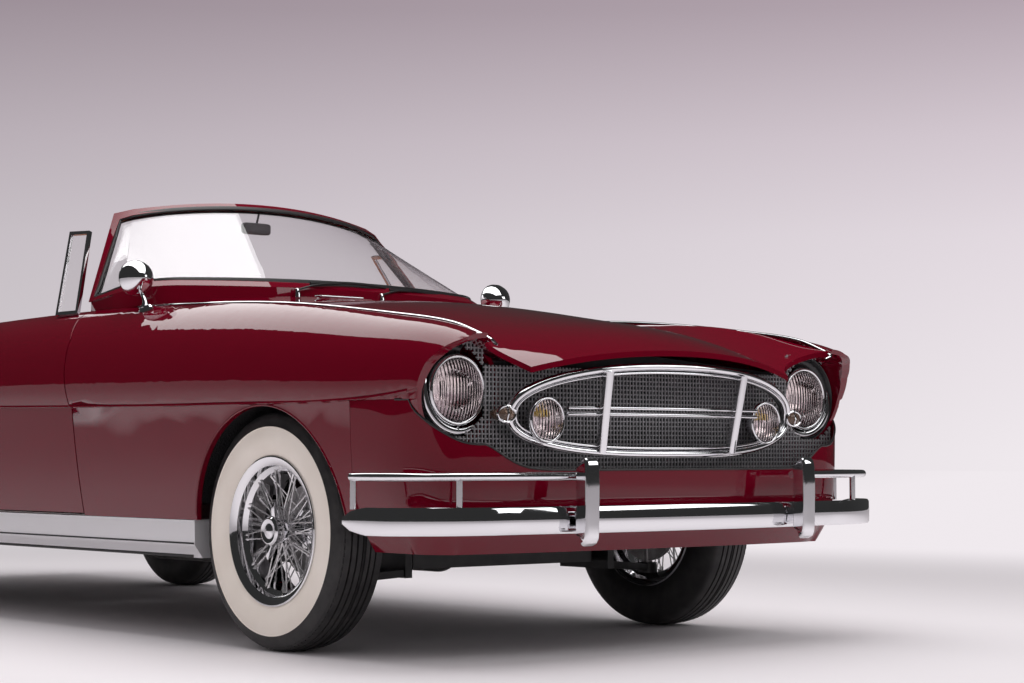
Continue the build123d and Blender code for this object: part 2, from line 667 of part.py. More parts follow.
def band_section(share, outside, inside, rear_trim=0.0, drop=0.0):
    """Closed curved strip that follows the windshield in plan at a share of its height."""
    outer, front_x, height, slope = glass_points(share, outside)
    inner = glass_points(share, inside)[0]
    run = sqrt(1 + slope**2)
    plane = Plane(origin=(front_x, 0, height - drop), x_dir=(1, 0, slope), z_dir=(-slope, 0, 1))

    def local(point, side=1):
        return ((point[0] - front_x) * run, side * point[1])

    def trimmed(points):
        end, before = points[4], points[3]
        length = sqrt((end[0] - before[0]) ** 2 + (end[1] - before[1]) ** 2)
        k = rear_trim / length
        return points[:4] + [(end[0] + k * (before[0] - end[0]), end[1] + k * (before[1] - end[1]))]

    outer, inner = trimmed(outer), trimmed(inner)
    with BuildSketch(plane) as section:
        with BuildLine():
            for points in (outer, inner):
                Line(local(points[4]), local(points[3]))
                ThreePointArc(local(points[3]), local(points[2]), local(points[1]))
                ThreePointArc(local(points[1]), local(points[0]), local(points[1], -1))
                ThreePointArc(local(points[1], -1), local(points[2], -1), local(points[3], -1))
                Line(local(points[3], -1), local(points[4], -1))
            for side in (1, -1):
                Line(local(outer[4], side), local(inner[4], side))
        make_face()
    return section.sketch


def band(share_low, share_high, outside, inside, rear_trim=0.0):
    """Ruled shell that follows the windshield between two shares of its height."""
    with BuildPart() as shell:
        add(band_section(share_low, outside, inside, rear_trim))
        add(band_section(share_high, outside, inside, rear_trim))
        loft(ruled=True)
    return shell.part


with BuildPart() as windshield_frame:
    add(band(0, 1, 10, -12))
    add(band(0.075, 0.935, 40, -40, rear_trim=26), mode=Mode.SUBTRACT)
save(windshield_frame.part, "windshield_frame")

with BuildPart() as windshield_glass:
    add(band(0.075 + 0.002, 0.935 - 0.002, 3, -3, rear_trim=26.5))
save(windshield_glass.part, "windshield_glass")

with BuildPart() as cowl:
    add(band_section(0, 10, -12, drop=SEAT_GAP))
    add(band_section(0, 12, -12, drop=PLINTH_DROP))
    loft(ruled=True)
    add(deck_loft(HOOD, COWL_REAR_X, HOOD_REAR_X - SHUT_GAP, edge_gap=SEAT_GAP))
    add(plan_prism([(DASH_FACE_X, -640), (DASH_FACE_X, 640), (COWL_REAR_X - 50, 640), (COWL_REAR_X - 50, -640)],
                   900, 1300), mode=Mode.SUBTRACT)
    for y in (-HOOD_HINGE_Y, HOOD_HINGE_Y):
        add(hinge_ears(HOOD_HINGE_X, HOOD_HINGE_Z, y, HOOD_HINGE_Z + 16))
    for side in (1, -1):
        pillar_y = side * PILLAR_Y
        add(box(PILLAR_X, PILLAR_X + 90, min(pillar_y, side * 812), max(pillar_y, side * 812), SILL_Z + 4, 940))
        add(box(PILLAR_X, PILLAR_X + 90, *sorted((side * 715, side * (PILLAR_Y + 5))), 900, 1036))
        add(box(COWL_REAR_X - 1, DOOR_FOOT_X, *sorted((side * 738, side * 900)), 900, 1200), mode=Mode.SUBTRACT)
        for hinge_z in HINGE_Z:
            for way in (1, -1):
                ear_z = hinge_z + way * (HINGE_ARM_H / 2 + SEAT_GAP + EAR_T / 2)
                add(box(HINGE_X - 12, PILLAR_X + 2, side * HINGE_Y - 12, side * HINGE_Y + 12,
                        ear_z - EAR_T / 2, ear_z + EAR_T / 2))
            with BuildSketch(Plane.XY.offset(hinge_z - HINGE_ARM_H / 2 - EAR_T)):
                with Locations((HINGE_X, side * HINGE_Y)):
                    Circle(HINGE_PIN_R)
            extrude(amount=HINGE_ARM_H + 2 * EAR_T)
save(cowl.part, "cowl")

# ---------------------------------------------------------------- chassis
RAIL_TOP_Z = FLOOR_Z - 5
KICK_TOP_Z = 550.0
HORN_TOP_Z = 400.0
RAIL_OUTLINE = [
    (HORN_X, HORN_TOP_Z), (HORN_X, 312), (1290, 312), (1120, 225), (-1000, 225), (-1180, 470), (-1560, 470),
    (-1760, 330), (RAIL_REAR_X, 330), (RAIL_REAR_X, 410), (-1740, 410), (-1540, KICK_TOP_Z), (-1200, KICK_TOP_Z),
    (-1030, RAIL_TOP_Z), (1100, RAIL_TOP_Z), (1240, HORN_TOP_Z),
]
CROSSMEMBERS = (    # x, length, low z, high z
    (2255, 60, 330, 390), (FRONT_AXLE_X, 150, 225, ENGINE_LOW_Z - SEAT_GAP), (1320, 70, 262, 330), (860, 80, 232, 300),
    (-60, 80, 232, 300), (-960, 70, 232, 300), (-1470, 60, 480, 545), (-1800, 60, 340, 400),
    (-2345, 60, 336, 404),
)
OUTRIGGERS = (1000, 300, -200, -640)

with BuildPart() as chassis_frame:
    for side in (1, -1):
        add(side_prism(RAIL_OUTLINE, side * RAIL_Y - RAIL_W / 2, side * RAIL_Y + RAIL_W / 2))
        for x in OUTRIGGERS:
            add(box(x - 35, x + 35, *sorted((side * RAIL_Y, side * SILL_INNER_Y)), 258, RAIL_TOP_Z))
    for x, length, low_z, high_z in CROSSMEMBERS:
        add(box(x - length / 2, x + length / 2, -RAIL_Y, RAIL_Y, low_z, high_z))
save(chassis_frame.part, "chassis_frame")

# ---------------------------------------------------------------- floor, sills and inner walls
with BuildPart() as floor_tub:
    with BuildSketch(Plane.XZ.offset(-CABIN_HALF_W)):
        with BuildLine():
            Polyline(
                (FIREWALL_X + FLOOR_T, FLOOR_Z), (FIREWALL_X + FLOOR_T, 1015), (FIREWALL_X, 1015),
                (FIREWALL_X, FLOOR_Z + FLOOR_T), (SEAT_PAN_X + FLOOR_T, FLOOR_Z + FLOOR_T),
                (SEAT_PAN_X + FLOOR_T, SEAT_PAN_Z + FLOOR_T), (CABIN_REAR_X + FLOOR_T, SEAT_PAN_Z + FLOOR_T),
                (CABIN_REAR_X + FLOOR_T, 950), (CABIN_REAR_X, 950), (CABIN_REAR_X, SEAT_PAN_Z),
                (SEAT_PAN_X, SEAT_PAN_Z), (SEAT_PAN_X, FLOOR_Z), close=True,
            )
        make_face()
    extrude(amount=2 * CABIN_HALF_W)
    for side in (1, -1):
        add(box(SEAT_PAN_X, FIREWALL_X + 1, *sorted((side * (CABIN_HALF_W - 1), side * SILL_INNER_Y)), FLOOR_Z,
                FLOOR_Z + FLOOR_T))
    add(box(SEAT_PAN_X - 1, FIREWALL_X + FLOOR_T + 1, -TUNNEL_HALF_W, TUNNEL_HALF_W, FLOOR_Z, TUNNEL_Z))
    add(box(SEAT_PAN_X - 20, FIREWALL_X + FLOOR_T + 2, -TUNNEL_HALF_W + FLOOR_T, TUNNEL_HALF_W - FLOOR_T,
            FLOOR_Z - 1, TUNNEL_Z - FLOOR_T), mode=Mode.SUBTRACT)
    for side in (1, -1):
        add(box(CABIN_REAR_X - 1, REAR_NARROW_X, *sorted((side * (REAR_HOUSE_Y - 6), side * 900)), 0, 1100),
            mode=Mode.SUBTRACT)
save(floor_tub.part, "floor_tub")

with BuildPart() as boot_floor:
    with BuildSketch(Plane.XZ.offset(-BOOT_HALF_W)):
        with BuildLine():
            Polyline(
                (CABIN_REAR_X - SEAT_GAP, 556), (-1560, 556), (-1770, 418), (TAIL_X + 10, 418),
                (TAIL_X + 10, 428), (-1766, 428), (-1556, 566), (CABIN_REAR_X - SEAT_GAP, 566), close=True,
            )
        make_face()
    extrude(amount=2 * BOOT_HALF_W)
    for side in (1, -1):
        add(side_prism([(CABIN_REAR_X - SEAT_GAP, 556), (CABIN_REAR_X - SEAT_GAP, 900), (TAIL_X + 10, 780),
                        (TAIL_X + 10, 418), (-1770, 418), (-1560, 556)],
                       side * BOOT_HALF_W - 4, side * BOOT_HALF_W + 4))
save(boot_floor.part, "boot_floor")

with BuildPart() as sill:
    with BuildSketch(Plane.YZ.offset(SILL_REAR_X)):
        with BuildLine():
            Polyline(
                (SILL_INNER_Y + SEAT_GAP, SILL_LOW_Z), (SILL_Y - 34, SILL_LOW_Z), (SILL_Y - 6, SILL_LOW_Z + 40),
                (SILL_Y - 4, SILL_Z - SEAT_GAP), (SILL_INNER_Y + SEAT_GAP, SILL_Z - SEAT_GAP), close=True,
            )
        make_face()
    extrude(amount=SILL_FRONT_X - SILL_REAR_X)
save_pair(sill.part, "sill")


def wheel_house(x, z, inner_y, outer_y, wall_low_z):
    """Half-round inner arch over a wheel, open outward, with its inner wall above the running gear."""
    with BuildPart() as house:
        add(cylinder_y(x, z, HOUSE_R, inner_y, outer_y))
        add(cylinder_y(x, z, HOUSE_R - HOUSE_SKIN, inner_y - 1, outer_y + 1), mode=Mode.SUBTRACT)
        add(cylinder_y(x, z, HOUSE_R - 1, inner_y, inner_y + HOUSE_SKIN))
        add(box(x - 600, x + 600, 0, 1200, -200, HOUSE_LOW_Z), mode=Mode.SUBTRACT)
        add(LINER_CUT, mode=Mode.SUBTRACT)
        add(box(x - HOUSE_R + HOUSE_SKIN, x + HOUSE_R - HOUSE_SKIN, inner_y - 1, inner_y + HOUSE_SKIN + 1, 0,
                wall_low_z), mode=Mode.SUBTRACT)
    return house.part


with BuildPart() as wheel_houses:
    for side in (1, -1):
        house = wheel_house(ARCH_X, ARCH_Z - 12, FRONT_HOUSE_Y, HOUSE_OUTER_Y, 530)
        rear_house = wheel_house(REAR_AXLE_X, ARCH_Z - 12, REAR_HOUSE_Y, HOUSE_OUTER_Y, 430)
        for part in (house, rear_house):
            add(part if side == 1 else part.mirror(Plane.XZ))
save(wheel_houses.part, "wheel_houses")

# ---------------------------------------------------------------- running gear
TYRE_PROFILE = (    # distance from the wheel's middle plane, radius
    (TREAD_W / 2, TYRE_R - 3), (TYRE_W / 2 - 8, TYRE_R - 30), (TYRE_W / 2, TYRE_R - 70),
    (TYRE_W / 2 - 6, RIM_FLANGE_R + 30), (RIM_HALF_W - 5 - SEAT_GAP, RIM_FLANGE_R + 2), (RIM_HALF_W - 5 - SEAT_GAP, RIM_SEAT_R + SEAT_GAP),
)


def make_tyre():
    """Tyre about the Y axis at the origin."""
    with BuildPart() as tyre:
        with BuildSketch(Plane.YZ):
            with BuildLine():
                Polyline(*[(y, r) for y, r in TYRE_PROFILE], *[(-y, r) for y, r in reversed(TYRE_PROFILE)])
                ThreePointArc(
                    (-TYRE_PROFILE[0][0], TYRE_PROFILE[0][1]), (0, TYRE_R), (TYRE_PROFILE[0][0], TYRE_PROFILE[0][1])
                )
            make_face()
        revolve(axis=Axis.Y)
    return tyre.part


def make_wheel(bore_r):
    """Wire wheel about the Y axis at the origin, outside face toward +Y."""
    with BuildPart() as wheel:
        with BuildSketch(Plane.YZ):
            with BuildLine():
                Polyline(
                    (-RIM_HALF_W, RIM_FLANGE_R), (-RIM_HALF_W + 5, RIM_FLANGE_R),
                    (-RIM_HALF_W + 5, RIM_SEAT_R), (RIM_HALF_W - 5, RIM_SEAT_R),
                    (RIM_HALF_W - 5, RIM_FLANGE_R), (RIM_HALF_W, RIM_FLANGE_R),
                    (RIM_HALF_W, RIM_SEAT_R - 6), (30, RIM_SEAT_R - 24), (-20, RIM_SEAT_R - 24),
                    (-RIM_HALF_W, RIM_SEAT_R - 6), close=True,
                )
            make_face()
        revolve(axis=Axis.Y)
        with BuildSketch(Plane.YZ):
            with BuildLine():
                Polyline(
                    (HUB_IN_Y, bore_r), (HUB_IN_Y, HUB_R + 12), (HUB_IN_Y + 10, HUB_R + 12), (HUB_IN_Y + 18, HUB_R),
                    (HUB_OUT_Y, HUB_R - 8), (HUB_OUT_Y + 24, 30), (HUB_OUT_Y + 34, 22), (HUB_OUT_Y + 34, 0),
                    (HUB_OUT_Y - 4, 0), (HUB_OUT_Y - 4, bore_r), close=True,
                )
            make_face()
        revolve(axis=Axis.Y)
        for k in range(SPOKES):
            for hub_y, hub_r, rim_y, lead in ((HUB_IN_Y + 6, HUB_R + 6, 10, 0.6), (HUB_OUT_Y - 12, HUB_R - 10, -6, -0.6)):
                hub_angle = radians(360 * (k + (0.5 if lead < 0 else 0)) / SPOKES)
                rim_angle = hub_angle + lead * (1 if k % 2 else -1)
                rim_r = RIM_SEAT_R - 20
                add(segment_box(
                    (hub_r * cos(hub_angle), hub_y, hub_r * sin(hub_angle)),
                    (rim_r * cos(rim_angle), rim_y, rim_r * sin(rim_angle)), 2 * SPOKE_R, 2 * SPOKE_R,
                ))
    return wheel.part


TYRE = make_tyre()
WHEEL = make_wheel(SPINDLE_R + 0.3)
for place, x in (("front", FRONT_AXLE_X), ("rear", REAR_AXLE_X)):
    tyre = TYRE.moved(Location((x, WHEEL_Y, TYRE_R)))
    wheel = WHEEL.moved(Location((x, WHEEL_Y, TYRE_R)))
    save_pair(tyre, f"{place}_tyre")
    save_pair(wheel, f"{place}_wheel")

with BuildPart() as knuckle:
    with BuildSketch(Plane.XY.offset(KNUCKLE_LOW_Z)):
        with Locations((FRONT_AXLE_X, KINGPIN_Y)):
            Circle(KINGPIN_R)
    extrude(amount=KNUCKLE_TOP_Z - KNUCKLE_LOW_Z)
    add(cylinder_y(FRONT_AXLE_X, TYRE_R, SPINDLE_R, KINGPIN_Y, WHEEL_Y + HUB_OUT_Y - 12))
    add(cylinder_y(FRONT_AXLE_X, TYRE_R, BRAKE_R, KINGPIN_Y - 10, KINGPIN_Y + 12))
save_pair(knuckle.part, "knuckle")

with BuildPart() as front_suspension:
    for side in (1, -1):
        ball = (FRONT_AXLE_X, side * KINGPIN_Y)
        for x in (-95, 95):
            add(segment_box((FRONT_AXLE_X + x, side * SHOCK_Y, 216), (*ball, 192), 30, 22))
            add(segment_box((FRONT_AXLE_X + x * 0.8, side * SHOCK_Y, 470), (*ball, 503), 26, 20))
        for z in (KNUCKLE_LOW_Z - SEAT_GAP - 34, KNUCKLE_TOP_Z + SEAT_GAP):
            with BuildSketch(Plane.XY.offset(z)):
                with Locations(ball):
                    Circle(32)
            extrude(amount=34)
        add(box(FRONT_AXLE_X - 115, FRONT_AXLE_X + 115, *sorted((side * (RAIL_Y + RAIL_W / 2 + SEAT_GAP),
            side * (SHOCK_Y + 8))), 202, 486))
save(front_suspension.part, "front_suspension")

with BuildPart() as rear_axle:
    add(cylinder_y(REAR_AXLE_X, TYRE_R, AXLE_R, -KINGPIN_Y, KINGPIN_Y))
    add(cylinder_y(REAR_AXLE_X, TYRE_R, SPINDLE_R, -WHEEL_Y - HUB_OUT_Y + 12, WHEEL_Y + HUB_OUT_Y - 12))
    for side in (1, -1):
        add(cylinder_y(REAR_AXLE_X, TYRE_R, BRAKE_R, *sorted((side * (KINGPIN_Y - 20), side * (KINGPIN_Y + 12)))))
    with Locations((REAR_AXLE_X, 0, TYRE_R)):
        Sphere(120)
    add(cylinder_x(0, TYRE_R, 60, REAR_AXLE_X, REAR_AXLE_X + 220))
save(rear_axle.part, "rear_axle")

with BuildPart() as rear_springs:
    for side in (1, -1):
        with BuildSketch(Plane.XZ.offset(-side * SPRING_Y - 30)):
            with BuildLine():
                for drop in (0, 34):
                    ThreePointArc((-760, 352 - drop), (REAR_AXLE_X, TYRE_R - AXLE_R - SEAT_GAP - drop), (-1880, 372 - drop))
                Line((-760, 352), (-760, 318))
                Line((-1880, 372), (-1880, 338))
            make_face()
        extrude(amount=60)
        for x, z in ((-780, 330), (-1850, 352)):
            add(box(x - 24, x + 24, *sorted((side * (RAIL_Y + RAIL_W / 2 + SEAT_GAP), side * SPRING_Y)), z - 20, z + 30))
save(rear_springs.part, "rear_springs")

with BuildPart() as engine:
    add(box(1190, 1900, -250, 250, ENGINE_LOW_Z, 850))
save(engine.part, "engine")

with BuildPart() as drive_shaft:
    add(rod((1182, 0, 400), (760, 0, 372), 95, 60))
    add(rod((800, 0, 372), (REAR_AXLE_X + 220 + 0.8, 0, TYRE_R), 36))
save(drive_shaft.part, "drive_shaft")

with BuildPart() as exhaust:
    add(pipe([(1235, 200, ENGINE_LOW_Z - SEAT_GAP), (1235, 200, 196), (-1000, 200, 196), (-1325, 200, 240), (-1900, 210, 250),
              (-2560, 230, 286)], 22, 120))
    add(cylinder_x(200, 200, 44, -700, -100))
save(exhaust.part, "exhaust")

with BuildPart() as fuel_tank:
    add(box(-2290, -1850, -RAIL_Y + RAIL_W / 2 + SEAT_GAP, 140, 260, 405))
save(fuel_tank.part, "fuel_tank")

# ---------------------------------------------------------------- front brightwork and lamps
with BuildPart() as grille_mesh:
    with BuildSketch(Plane.YZ.offset(MESH_X)):
        with Locations((0, (MESH_LOW_Z + MESH_TOP_Z) / 2)):
            Rectangle(2 * MESH_HALF_W, MESH_TOP_Z - MESH_LOW_Z)
            with GridLocations(MESH_PITCH_Y, MESH_PITCH_Z, MESH_COLUMNS, MESH_ROWS):
                Rectangle(MESH_PITCH_Y - MESH_BAR, MESH_PITCH_Z - MESH_BAR, mode=Mode.SUBTRACT)
    extrude(amount=MESH_T)
save(grille_mesh.part, "grille_mesh")


def grille_oval(inset):
    """Oval outline of the grille surround in front view, inset all round."""
    half_w, half_h = GRILLE_HALF_W - inset, (GRILLE_TOP_Z - GRILLE_BOTTOM_Z) / 2 - inset
    knee_y, knee_z = GRILLE_HALF_W * 0.72 - inset * 0.4, half_h * 0.76
    middle_z = (GRILLE_TOP_Z + GRILLE_BOTTOM_Z) / 2
    with BuildSketch(Plane.YZ.offset(GRILLE_END_X - 60)) as oval:
        with BuildLine():
            ThreePointArc((-knee_y, middle_z + knee_z), (0, middle_z + half_h), (knee_y, middle_z + knee_z))
            ThreePointArc((knee_y, middle_z + knee_z), (half_w, middle_z - 10), (knee_y, middle_z - knee_z))
            ThreePointArc((knee_y, middle_z - knee_z), (0, middle_z - half_h), (-knee_y, middle_z - knee_z))
            ThreePointArc((-knee_y, middle_z - knee_z), (-half_w, middle_z - 10), (-knee_y, middle_z + knee_z))
        make_face()
    return oval.sketch


with BuildPart() as grille_surround:
    extrude(grille_oval(0), 200)
    extrude(grille_oval(GRILLE_RING_W), 200, mode=Mode.SUBTRACT)
    for y in (-STRUT_Y, STRUT_Y):
        add(box(GRILLE_END_X - 60, GRILLE_X + 60, y - 9, y + 9, MESH_LOW_Z - 20, GRILLE_TOP_Z - 24))
    for side in (1, -1):
        add(box(GRILLE_END_X - 60, GRILLE_X + 60, *sorted((side * STRUT_Y, side * (GRILLE_HALF_W - 20))),
                BAR_Z - 9, BAR_Z + 9))
    with BuildSketch(Plane.XY.offset(400)):
        with BuildLine():
            for depth in (0, GRILLE_RING_T):
                ThreePointArc(
                    (GRILLE_END_X - depth, -GRILLE_HALF_W - 30), (GRILLE_X - depth, 0),
                    (GRILLE_END_X - depth, GRILLE_HALF_W + 30),
                )
            for side in (1, -1):
                Line(
                    (GRILLE_END_X, side * (GRILLE_HALF_W + 30)),
                    (GRILLE_END_X - GRILLE_RING_T, side * (GRILLE_HALF_W + 30)),
                )
        make_face()
    extrude(amount=600, mode=Mode.INTERSECT)
grille_ring = grille_surround.part.rotate(
    Axis((GRILLE_END_X, 0, (GRILLE_TOP_Z + GRILLE_BOTTOM_Z) / 2), (0, 1, 0)), GRILLE_TILT
)
for y in (-FOG_Y, FOG_Y):
    grille_ring -= cylinder_x(y, FOG_Z, FOG_R + SEAT_GAP, FOG_X - 60, FOG_X + 40)
grille_ring -= box(2200, 2600, -GRILLE_HALF_W, GRILLE_HALF_W, 300, MESH_LOW_Z)
save(grille_ring, "grille_surround")


def lamp(x, y, z, profile):
    """Round lamp facing forward, turned from a profile of distances ahead of x and radii."""
    with BuildPart() as body:
        with BuildSketch(Plane.XY):
            with BuildLine():
                Polyline((profile[0][0], 0), *profile, (profile[-1][0], 0), close=True)
            make_face()
        revolve(axis=Axis.X)
    return body.part.moved(Location((x, y, z)))


HEAD_PROFILE = (
    (-120, 60), (-40, 112), (-14, NACELLE_R - 4 - SEAT_GAP), (6, NACELLE_R - 4 - SEAT_GAP), (12, HEAD_BEZEL_R - 4),
    (-6, 108), (8, 101), (6, HEAD_R), (16, 55), (20, 12),
)
FOG_PROFILE = ((-44, 30), (-30, 56), (-6, FOG_R), (4, FOG_R - 3), (2, FOG_R - 8), (10, 26), (12, 6))

with BuildPart() as headlamps:
    for side in (1, -1):
        add(lamp(HEAD_X, side * HEAD_Y, HEAD_Z, HEAD_PROFILE))
save(headlamps.part, "headlamps")

with BuildPart() as fog_lamps:
    for side in (1, -1):
        add(lamp(FOG_X, side * FOG_Y, FOG_Z, FOG_PROFILE))
save(fog_lamps.part, "fog_lamps")

with BuildPart() as parking_lamps:
    for side in (1, -1):
        with BuildSketch(Plane.YZ.offset(PARKING_X)):
            with Locations((side * PARKING_Y, PARKING_Z)):
                Ellipse(33, 24)
        extrude(amount=18)
save(parking_lamps.part, "parking_lamps")


def bumper_section(z, inset, way, middle_x, shift):
    """Plan of a bumper blade at height z, set back by an inset. The way is 1 at the front, -1 at the rear."""
    with BuildSketch(Plane.XY.offset(z)) as section:
        with BuildLine():
            for back in (inset, BLADE_T):
                tip = (way * (BUMPER_TIP_X + shift - back * 0.2), BUMPER_TIP_Y - back)
                bend = (way * (2330 + shift - back * 0.4), 962 - back)
                knee = (way * (2425 + shift - back * 0.7), 858 - back * 0.7)
                shoulder = (way * (2478 + shift - back), 640 - back * 0.3)
                for side in (1, -1):
                    Line((tip[0], side * tip[1]), (bend[0], side * bend[1]))
                    ThreePointArc(
                        (bend[0], side * bend[1]), (knee[0], side * knee[1]), (shoulder[0], side * shoulder[1])
                    )
                ThreePointArc(shoulder, (way * (middle_x - back), 0), (shoulder[0], -shoulder[1]))
            for side in (1, -1):
                Line(
                    (way * (BUMPER_TIP_X + shift - inset * 0.2), side * (BUMPER_TIP_Y - inset)),
                    (way * (BUMPER_TIP_X + shift - BLADE_T * 0.2), side * (BUMPER_TIP_Y - BLADE_T)),
                )
        make_face()
    return section.sketch


def bumper(way, middle_x, low_z, top_z, shift, frame_x, iron_z):
    """Bumper blade with a rounded face, and its two irons to the frame."""
    with BuildPart() as blade:
        for share, inset in ((0, 9), (0.3, 0), (0.7, 0), (1, 9)):
            add(bumper_section(low_z + share * (top_z - low_z), inset, way, middle_x, shift))
        loft()
        for side in (1, -1):
            add(box(*sorted((frame_x + way * SEAT_GAP, way * (middle_x - BLADE_T - 6))),
                    *sorted((side * (RAIL_Y - 18), side * (RAIL_Y + 18))), iron_z - 12, iron_z + 12))
    return blade.part


def guard(way, x, low_z, top_z):
    """Upright bumper guard with a rounded face."""
    with BuildPart() as upright:
        with BuildSketch(Plane.XZ.offset(-GUARD_Y - GUARD_W / 2)):
            with BuildLine():
                ThreePointArc(
                    (way * (x + 4), low_z), (way * GUARD_FACE_X, (low_z + top_z) / 2), (way * (x + 2), top_z)
                )
                Polyline((way * (x + 2), top_z), (way * (x - 34), top_z), (way * (x - 34), top_z - 70),
                         (way * (x + 2), top_z - 104), (way * (x + 4), low_z))
            make_face()
        extrude(amount=GUARD_W)
    return upright.part


with BuildPart() as front_bumper:
    add(bumper(1, BUMPER_X, BUMPER_LOW_Z, BUMPER_TOP_Z, 0, HORN_X, IRON_FRONT_Z))
save(front_bumper.part, "front_bumper")

with BuildPart() as rear_bumper:
    add(bumper(-1, LENGTH / 2, REAR_BUMPER_Z, REAR_BUMPER_Z + BUMPER_TOP_Z - BUMPER_LOW_Z, 62, RAIL_REAR_X,
               IRON_REAR_Z))
save(rear_bumper.part, "rear_bumper")

NUDGE_ROUTE = [(2492, GUARD_Y), (2462, 660), (2412, 850), (2330, 942), (2200, 966)]
with BuildPart() as bumper_guards:
    add(guard(1, BUMPER_X, GUARD_LOW_Z, GUARD_TOP_Z))
    add(pipe([(x, y, NUDGE_Z) for x, y in NUDGE_ROUTE], NUDGE_R, 60))
    for x, y in ((2432, 790), (2204, 966)):
        add(rod((x, y, BUMPER_TOP_Z + SEAT_GAP), (x, y, NUDGE_Z), 9))
save(both(bumper_guards.part), "bumper_guards")

with BuildPart() as tail_lamps:
    for side in (1, -1):
        with BuildSketch(Plane.YZ.offset(TAIL_X - TAIL_SKIN - 2 * SEAT_GAP)):
            with Locations((side * TAIL_LAMP_Y, TAIL_LAMP_Z)):
                Circle(TAIL_LAMP_R)
        extrude(amount=-14)
        with BuildSketch(Plane.YZ.offset(TAIL_X - TAIL_SKIN - 14)) as lens_foot:
            with Locations((side * TAIL_LAMP_Y, TAIL_LAMP_Z)):
                Circle(TAIL_LAMP_R - 8)
        extrude(amount=-24, taper=22)
save(tail_lamps.part, "tail_lamps")

# ---------------------------------------------------------------- cabin
with BuildPart() as dashboard:
    add(deck_loft(HOOD, DASH_REAR_X, DASH_FACE_X - SEAT_GAP, drop=3, depth=DASH_DEPTH))
    add(box(0, 900, -DASH_HALF_W, DASH_HALF_W, 700, 1300), mode=Mode.INTERSECT)
save(dashboard.part, "dashboard")

COLUMN_WAY = (cos(radians(STEER_TILT)), 0, -sin(radians(STEER_TILT)))
COLUMN_RUN = (FIREWALL_X - SEAT_GAP - STEER_X) / COLUMN_WAY[0] - 11


def on_column(distance):
    """Point on the steering axis, ahead of the wheel's centre."""
    return (STEER_X + distance * COLUMN_WAY[0], STEER_Y, STEER_Z + distance * COLUMN_WAY[2])


with BuildPart() as steering_column:
    add(rod(on_column(HUB_DEPTH + SEAT_GAP), on_column(COLUMN_RUN), COLUMN_R))
save(steering_column.part, "steering_column")

with BuildPart() as steering_wheel:
    with BuildSketch(Plane.XZ):
        with Locations((STEER_R, 0)):
            Circle(STEER_RIM_R)
    revolve(axis=Axis.Z)
    with BuildSketch(Plane.XY.offset(-HUB_DEPTH)):
        Circle(STEER_HUB_R)
    extrude(amount=HUB_DEPTH + 12)
    for angle in (200, 340, 90):
        way = (cos(radians(angle)), sin(radians(angle)))
        add(segment_box((20 * way[0], 20 * way[1], -8), (STEER_R * way[0], STEER_R * way[1], 0), 24, 8))
steering_plane = Plane(origin=(STEER_X, STEER_Y, STEER_Z), x_dir=(0, 1, 0), z_dir=tuple(-v for v in COLUMN_WAY))
save(steering_wheel.part.moved(steering_plane.location), "steering_wheel")


def seat(profile, y0, y1, edge):
    """Upholstered seat: a side view outline across its width, with rounded edges."""
    with BuildPart() as cushion:
        add(side_prism(profile, y0, y1))
        fillet(cushion.edges().filter_by(Axis.Y).group_by(Axis.Z)[-1], edge)
    return cushion.part


SEAT_BACK_Z = TOP_BUNDLE_Z - TOP_BUNDLE_H / 2 - SEAT_GAP
FRONT_SEAT = [(130, FLOOR_Z + FLOOR_T + SEAT_GAP), (150, 545), (-330, 515), (-420, 985), (-515, 985),
              (-450, FLOOR_Z + FLOOR_T + SEAT_GAP)]
REAR_SEAT = [(-600, SEAT_PAN_Z + FLOOR_T + SEAT_GAP), (-590, 585), (-900, 560), (-975, SEAT_BACK_Z),
             (CABIN_REAR_X + FLOOR_T + SEAT_GAP, SEAT_BACK_Z), (CABIN_REAR_X + FLOOR_T + SEAT_GAP, SEAT_PAN_Z + FLOOR_T + SEAT_GAP)]
with BuildPart() as front_seats:
    for side in (1, -1):
        add(seat(FRONT_SEAT, *sorted((side * (TUNNEL_HALF_W + 15), side * FRONT_SEAT_Y)), 30))
save(front_seats.part, "front_seats")

with BuildPart() as rear_seat:
    add(seat(REAR_SEAT, -REAR_SEAT_Y, REAR_SEAT_Y, 30))
save(rear_seat.part, "rear_seat")

with BuildPart() as folded_top:
    with BuildSketch(Plane.XZ.offset(-TOP_HALF_W)):
        with Locations((TOP_X, TOP_BUNDLE_Z)):
            SlotOverall(TOP_BUNDLE_W, TOP_BUNDLE_H)
    extrude(amount=2 * TOP_HALF_W)
    fillet(folded_top.faces().sort_by(Axis.Y)[0].edges() + folded_top.faces().sort_by(Axis.Y)[-1].edges(), 30)
save(folded_top.part, "folded_top")

# ---------------------------------------------------------------- mirrors and quarter windows
with BuildPart() as mirror:
    add(rod((MIRROR_X - 40, MIRROR_Y, MIRROR_Z), (MIRROR_X + 50, MIRROR_Y, MIRROR_Z), MIRROR_R, MIRROR_R * 0.45))
    add(rod((MIRROR_X + 52, MIRROR_Y + 10, 1020), (MIRROR_X + 8, MIRROR_Y, MIRROR_Z - 20), 9))
    add(OUTER, mode=Mode.SUBTRACT)
save(both(mirror.part.solids().sort_by(SortBy.VOLUME)[-1]), "fender_mirrors")

VENT_CORNERS = ((396, 772, 1040), (262, 780, 1040), (134, 657, 1345), (262, 650, 1338))
vent_origin, vent_rear = Vector(*VENT_CORNERS[0]), Vector(*VENT_CORNERS[1])
vent_normal = (vent_rear - vent_origin).cross(Vector(*VENT_CORNERS[2]) - vent_origin)
VENT_PLANE = Plane(origin=vent_origin, x_dir=vent_rear - vent_origin, z_dir=vent_normal)


